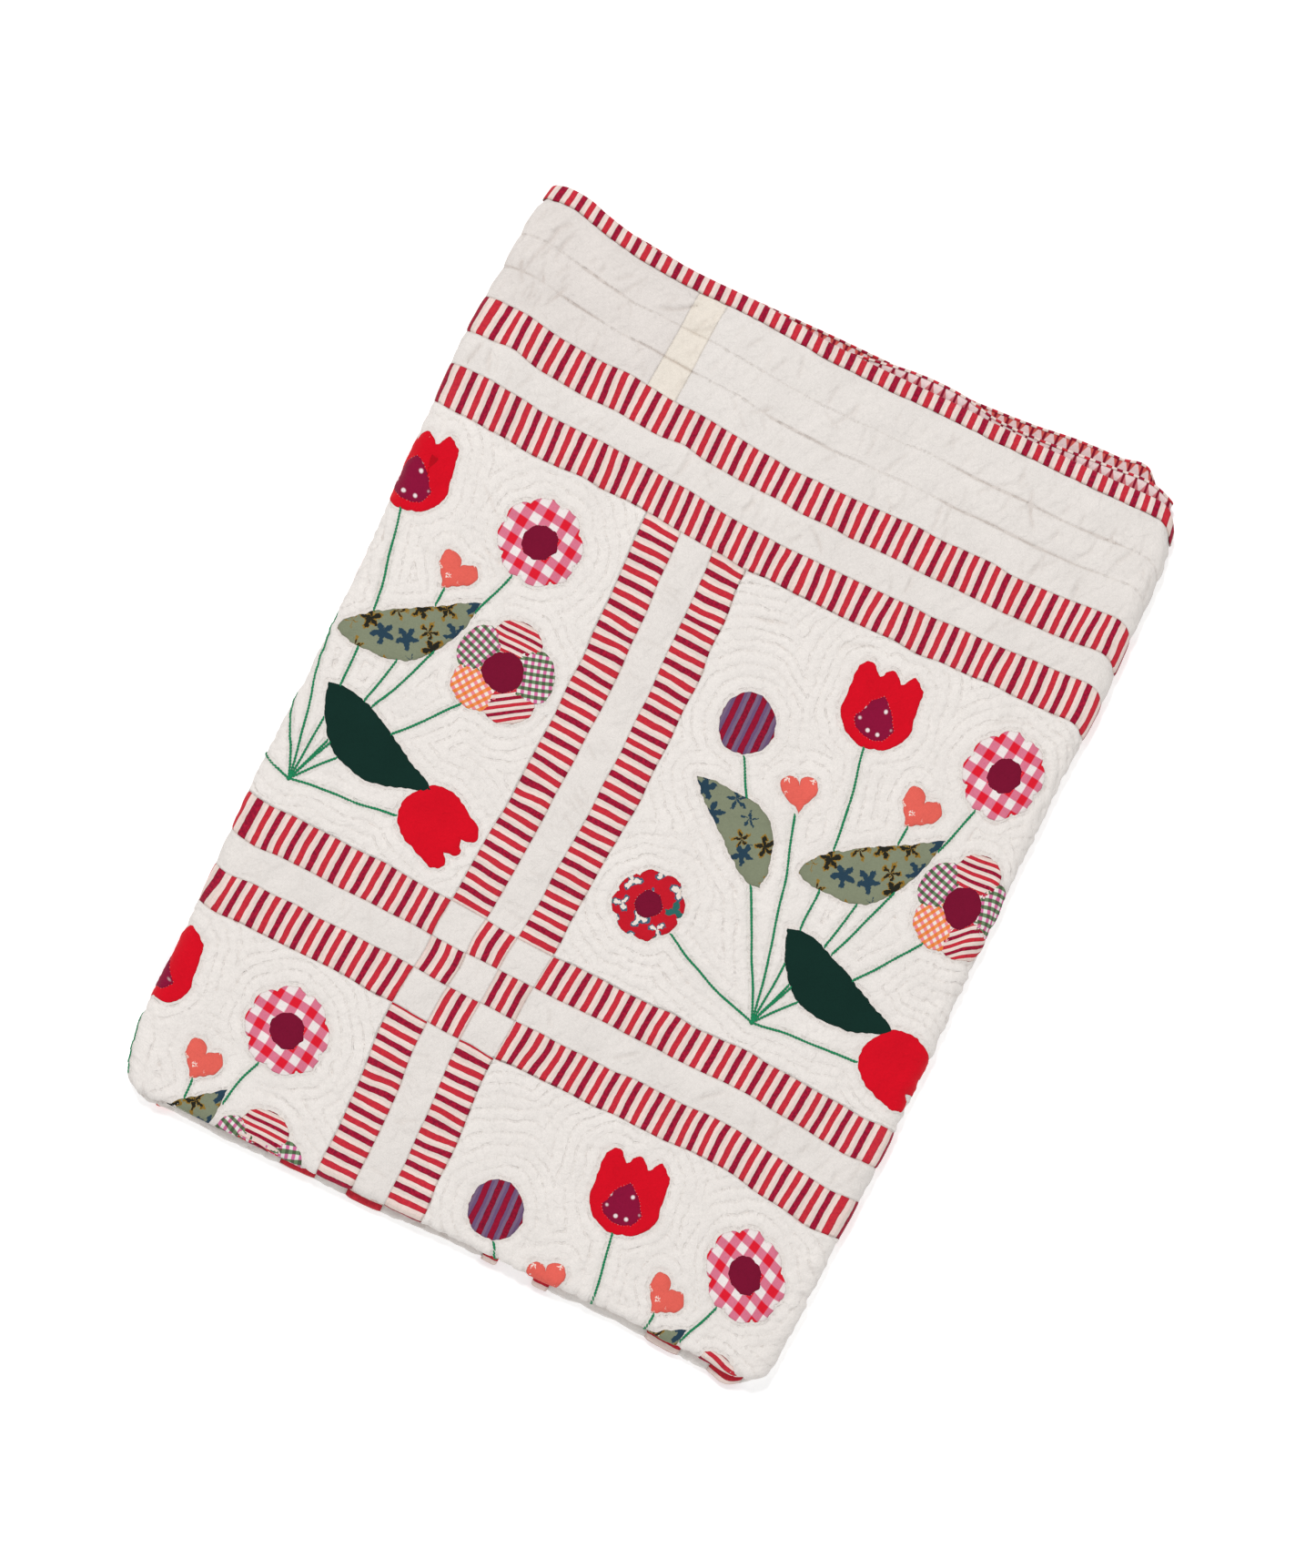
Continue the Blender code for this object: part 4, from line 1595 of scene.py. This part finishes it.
def patchPart(motif, shape, left, top, rng):
    fabric, kind, level, x, y, width, height, turn = motif
    outline, inner, gaps = shape
    count = len(outline)
    spots = np.concatenate([outline, outline, inner])
    rise = 0.25 + 0.65 * eased(gaps, 0, 1.3) + spray["puff"] * (1 - np.exp(-gaps / 7.0))
    rise = np.concatenate([np.full(count, -0.5), np.full(count, 0.25), rise])
    rise = rise * spray["lift"] + 0.5 * (level - 1) + rng.uniform(-0.06, 0.06)
    centred = spots - (x, y)
    spots = turned(centred, math.radians(rng.uniform(-1.5, 1.5)), x, y)
    rise = rise * (1 - 0.8 * eased(top + spots[:, 1], 968, 980))  # flat where it lies inside
    k = np.arange(count)
    k2 = np.roll(k, -1)
    return {
        "fabric": fabric,
        "points": topPoint(left + spots[:, 0], top + spots[:, 1], rise),
        "quads": np.stack([k, k2, count + k2, count + k], -1),
        "triangles": np.concatenate([filled(outline, inner) + count, filled(outline)[:, ::-1]]),
        "flat": turned(centred, -math.radians(turn), 3.1 * x, 2.3 * y),  # the grain turns with the patch
        # painted shade round the patch's edge and its turned-under rim, fading a little way in
        "stitched": np.concatenate([np.full(2 * count, 0.7), 0.5 * np.exp(-gaps / 0.8)]),
    }


patchShapes = [patchShape(outline) for outline in patchOutlines]
blocks = [cell for cell in cells if cell[2] == "block"][:4]  # the other two are folded inside
applique = []
for number, block in enumerate(blocks):
    rng = np.random.default_rng(70 + number)
    left, top = block[3], block[5]
    parts = [
        patchPart(motif, shape, left, top, rng)
        for motif, shape in zip(motifs, patchShapes)
        if top + motif[4] < 1030
    ]
    applique.append(joinParts(f"applique{number + 1}", parts, fabrics))
print("applique made:", sum(len(piece.data.polygons) for piece in applique), "faces")


# Stitches: a node group that lays one small rounded stitch on each point, along its heading
def stitchTree():
    tree = bpy.data.node_groups.new("layStitches", "GeometryNodeTree")
    named = {}
    for name, kind in (
        ("Geometry", "NodeSocketGeometry"),
        ("Length", "NodeSocketFloat"),
        ("Width", "NodeSocketFloat"),
        ("Height", "NodeSocketFloat"),
        ("Slant", "NodeSocketFloat"),
        ("Least", "NodeSocketFloat"),
        ("Sides", "NodeSocketInt"),
        ("Rings", "NodeSocketInt"),
        ("Material", "NodeSocketMaterial"),
    ):
        named[name] = tree.interface.new_socket(name=name, in_out="INPUT", socket_type=kind).identifier
    tree.interface.new_socket(name="Geometry", in_out="OUTPUT", socket_type="NodeSocketGeometry")
    given = addNode(tree, "NodeGroupInput", {}, {}).outputs
    heading = addNode(tree, "GeometryNodeInputNamedAttribute", {"data_type": "FLOAT_VECTOR"}, {})
    heading.inputs["Name"].default_value = "heading"
    upward = addNode(tree, "GeometryNodeInputNamedAttribute", {"data_type": "FLOAT_VECTOR"}, {})
    upward.inputs["Name"].default_value = "upward"
    laid = addNode(tree, "FunctionNodeAxesToRotation", {"primary_axis": "Z", "secondary_axis": "X"}, {
        0: upward.outputs[0],
        1: heading.outputs[0],
    })
    slant = addNode(tree, "FunctionNodeAxisAngleToRotation", {}, {
        "Axis": (0.0, 0.0, 1.0),
        "Angle": given["Slant"],
    })
    slanted = addNode(tree, "FunctionNodeRotateRotation", {"rotation_space": "LOCAL"}, {
        0: laid.outputs[0],
        1: slant.outputs[0],
    })
    size = addNode(tree, "ShaderNodeCombineXYZ", {}, {
        0: given["Length"],
        1: given["Width"],
        2: given["Height"],
    })
    spread = addNode(tree, "FunctionNodeRandomValue", {"data_type": "FLOAT"}, {
        2: given["Least"],
        3: 1.0,
        8: 5,  # seed
    })
    scale = addNode(tree, "ShaderNodeVectorMath", scaled, {0: size.outputs[0], "Scale": spread.outputs[1]})
    ball = addNode(tree, "GeometryNodeMeshUVSphere", {}, {
        "Segments": given["Sides"],
        "Rings": given["Rings"],
        "Radius": 0.5,
    })
    stitch = addNode(tree, "GeometryNodeSetShadeSmooth", {}, {0: ball.outputs["Mesh"]})
    laidOut = addNode(tree, "GeometryNodeInstanceOnPoints", {}, {
        "Points": given["Geometry"],
        "Instance": stitch.outputs[0],
        "Rotation": slanted.outputs[0],
        "Scale": scale.outputs[0],
    })
    real = addNode(tree, "GeometryNodeRealizeInstances", {}, {"Geometry": laidOut.outputs[0]})
    finished = addNode(tree, "GeometryNodeSetMaterial", {}, {
        "Geometry": real.outputs[0],
        "Material": given["Material"],
    })
    addNode(tree, "NodeGroupOutput", {}, {0: finished.outputs[0]})
    return tree, named


stitchGroup, stitchInputs = stitchTree()


def layStitches(name, u, v, headU, headV, lift, look):
    # points on the patched surface, at places in the patchwork, made into a mesh of stitches
    here = topPoint(u, v, lift)
    heading = topPoint(u + headU, v + headV, lift) - here
    onU, onV = clothPlace(u, v)
    upward = foldPoint(onU, onV, 4.0) - foldPoint(onU, onV, 0.0)
    mesh = bpy.data.meshes.new(name + "Points")
    mesh.vertices.add(len(here))
    mesh.vertices.foreach_set("co", here.astype(np.float32).ravel())
    for label, values in (("heading", heading), ("upward", upward)):
        values = values / (np.linalg.norm(values, axis=1)[:, None] + 1e-12)
        attribute = mesh.attributes.new(label, "FLOAT_VECTOR", "POINT")
        attribute.data.foreach_set("vector", values.astype(np.float32).ravel())
    points = bpy.data.objects.new(name + "Points", mesh)
    bpy.context.scene.collection.objects.link(points)
    modifier = points.modifiers.new("stitches", "NODES")
    modifier.node_group = stitchGroup
    for key, value in look.items():
        if key in stitchInputs:
            modifier[stitchInputs[key]] = value
    evaluated = points.evaluated_get(bpy.context.evaluated_depsgraph_get())
    baked = bpy.data.meshes.new_from_object(evaluated)
    baked.name = name
    bpy.data.objects.remove(points)
    stitched = bpy.data.objects.new(name, baked)
    bpy.context.scene.collection.objects.link(stitched)
    return stitched


def stitchedOn(name, block, places, heads, lift, look):
    # stitches at places in a block, as far down the sheet as they can be seen
    left, top = block[3], block[5]
    kept = top + places[:, 1] < look["lastRow"]
    places, heads = places[kept], heads[kept]
    lift = lift[kept] if np.ndim(lift) else lift
    return layStitches(name, left + places[:, 0], top + places[:, 1], heads[:, 0], heads[:, 1], lift, look)


stemStitch = {
    "pitch": 3.0,
    "lift": 0.5,
    "lastRow": 972,
    "Length": 6.0 * mm,
    "Width": 2.2 * mm,
    "Height": 1.7 * mm,
    "Slant": math.radians(24),
    "Least": 0.85,
    "Sides": 6,
    "Rings": 4,
    "Material": stemThread,
}
stemPaths = [stemPath(stem, stemStitch["pitch"]) for stem in stems]
stemPlaces = np.concatenate(stemPaths)
stemHeads = np.concatenate([np.gradient(path, axis=0) for path in stemPaths])
bare = ~np.logical_or.reduce([inside(stemPlaces, outline) for outline in patchOutlines])
stemPlaces, stemHeads = stemPlaces[bare], stemHeads[bare]
stemStitches = [
    stitchedOn(f"stems{number + 1}", block, stemPlaces, stemHeads, stemStitch["lift"], stemStitch)
    for number, block in enumerate(blocks)
]

# small slanted stitches over the edge of each patch
whipStitch = {
    "pitch": 3.3,
    "lastRow": 966,
    "Length": 1.9 * mm,
    "Width": 0.5 * mm,
    "Height": 0.5 * mm,
    "Slant": math.radians(18),
    "Least": 0.6,
    "Sides": 4,
    "Rings": 2,
    "Material": whipThread,
}
rings = [evened(outline, whipStitch["pitch"]) for outline in patchOutlines]
outwards = [np.roll(ring, 1, axis=0) - np.roll(ring, -1, axis=0) for ring in rings]
outwards = np.concatenate(outwards)[:, ::-1] * (1, -1)
lifts = [np.full(len(ring), 0.2 + 0.5 * (motif[2] - 1)) for motif, ring in zip(motifs, rings)]
lifts = np.concatenate(lifts)
whipStitches = [
    stitchedOn(f"whipping{number + 1}", block, np.concatenate(rings), outwards, lifts, whipStitch)
    for number, block in enumerate(blocks)
]

quiltStitch = {
    "gap": 4.8,
    "lift": 0.12,
    "seen": (396, 1166, 984),  # the left, the right and the foot of the part that shows
    "Length": 2.6 * mm,
    "Width": 0.6 * mm,
    "Height": 0.5 * mm,
    "Slant": 0.0,
    "Least": 0.7,
    "Sides": 4,
    "Rings": 2,
    "Material": quiltingThread,
}


def spacedOut(u, v, gap):
    # as many of the places as keep a gap from one another
    taken, kept = {}, []
    for k in np.random.default_rng(9).permutation(len(u)):
        column, row = int(u[k] // gap), int(v[k] // gap)
        near = [taken.get((column + i, row + j), ()) for i in (-1, 0, 1) for j in (-1, 0, 1)]
        if all((u[k] - u[m]) ** 2 + (v[k] - v[m]) ** 2 > gap * gap for some in near for m in some):
            taken.setdefault((column, row), []).append(k)
            kept.append(k)
    return np.array(sorted(kept))


faceLeft, faceRight, faceFoot = quiltStitch["seen"]
rowsV, rowsU = np.nonzero(rowMap[:faceFoot, faceLeft:faceRight] < quilting["lineReach"])
rowsU = rowsU + faceLeft
kept = spacedOut(rowsU, rowsV, quiltStitch["gap"])
rowsU, rowsV = rowsU[kept], rowsV[kept]
headU, headV = runMapU[rowsV, rowsU], runMapV[rowsV, rowsU]
quiltStitches = layStitches(
    "quiltingStitches", rowsU, rowsV, headU, headV, quiltStitch["lift"], quiltStitch
)
stemFaces = sum(len(piece.data.polygons) for piece in stemStitches)
print("stitches laid:", len(rowsU), "of quilting;", stemFaces, "faces of stems")


# What moves: every piece goes on the one body, root
for piece in (quiltSheet, *sewn, *bound, *applique, *stemStitches, *whipStitches, quiltStitches):
    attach(piece, "root")

# Stage: a white floor under even light, and a camera straight above
stage = {
    "floorSize": 60.0,
    "floorColour": "#f6f6f6",
    "floorGlow": 0.32,  # the paper is lit from behind, so that no shadow shows on it
    "skyStrength": 0.42,
    "lamps": (  # place, aimed at, size, watts: in metres
        ((-1.7, 2.5, 6.0), (0, 0, 0), 1.0, 212.0),
        ((1.0, -2.4, 4.8), (0, 0, 0), 3.0, 56.0),
    ),
    "lens": 100.0,
    "cameraHeight": 4.347,
    "cameraAim": (0.0, 0.0073),
    "cameraTurn": 25.4,
}
floorMesh = bpy.data.meshes.new("floor")
reach = stage["floorSize"] / 2
corners = [(-reach, -reach, 0), (reach, -reach, 0), (reach, reach, 0), (-reach, reach, 0)]
floorMesh.from_pydata(corners, [], [(0, 1, 2, 3)])
floor = bpy.data.objects.new("floor", floorMesh)
bpy.context.scene.collection.objects.link(floor)
floor.location.z = -0.3 * mm
floorMesh.materials.append(plainMaterial("floorPaper", stage["floorColour"], {
    "Roughness": 0.9,
    "Specular IOR Level": 0.1,
    "Emission Color": (1, 1, 1, 1),
    "Emission Strength": stage["floorGlow"],
}))

world = bpy.data.worlds.new("studio")
bpy.context.scene.world = world
world.use_nodes = True
sky = world.node_tree.nodes["Background"]
sky.inputs["Color"].default_value = (1, 1, 1, 1)
sky.inputs["Strength"].default_value = stage["skyStrength"]
for number, (place, aim, size, watts) in enumerate(stage["lamps"]):
    light = bpy.data.lights.new(f"lamp{number + 1}", "AREA")
    light.shape = "DISK"
    light.size = size
    light.energy = watts
    lamp = bpy.data.objects.new(light.name, light)
    lamp.location = place
    lamp.rotation_euler = (Vector(aim) - Vector(place)).to_track_quat("-Z", "Y").to_euler()
    bpy.context.scene.collection.objects.link(lamp)

camera = bpy.data.objects.new("camera", bpy.data.cameras.new("camera"))
camera.data.lens = stage["lens"]
camera.data.sensor_width = 36.0
camera.location = (*stage["cameraAim"], stage["cameraHeight"])
camera.rotation_euler = (0, 0, math.radians(stage["cameraTurn"]))
bpy.context.scene.collection.objects.link(camera)
bpy.context.scene.camera = camera
bpy.context.scene.view_settings.view_transform = "Standard"
print("stage set")
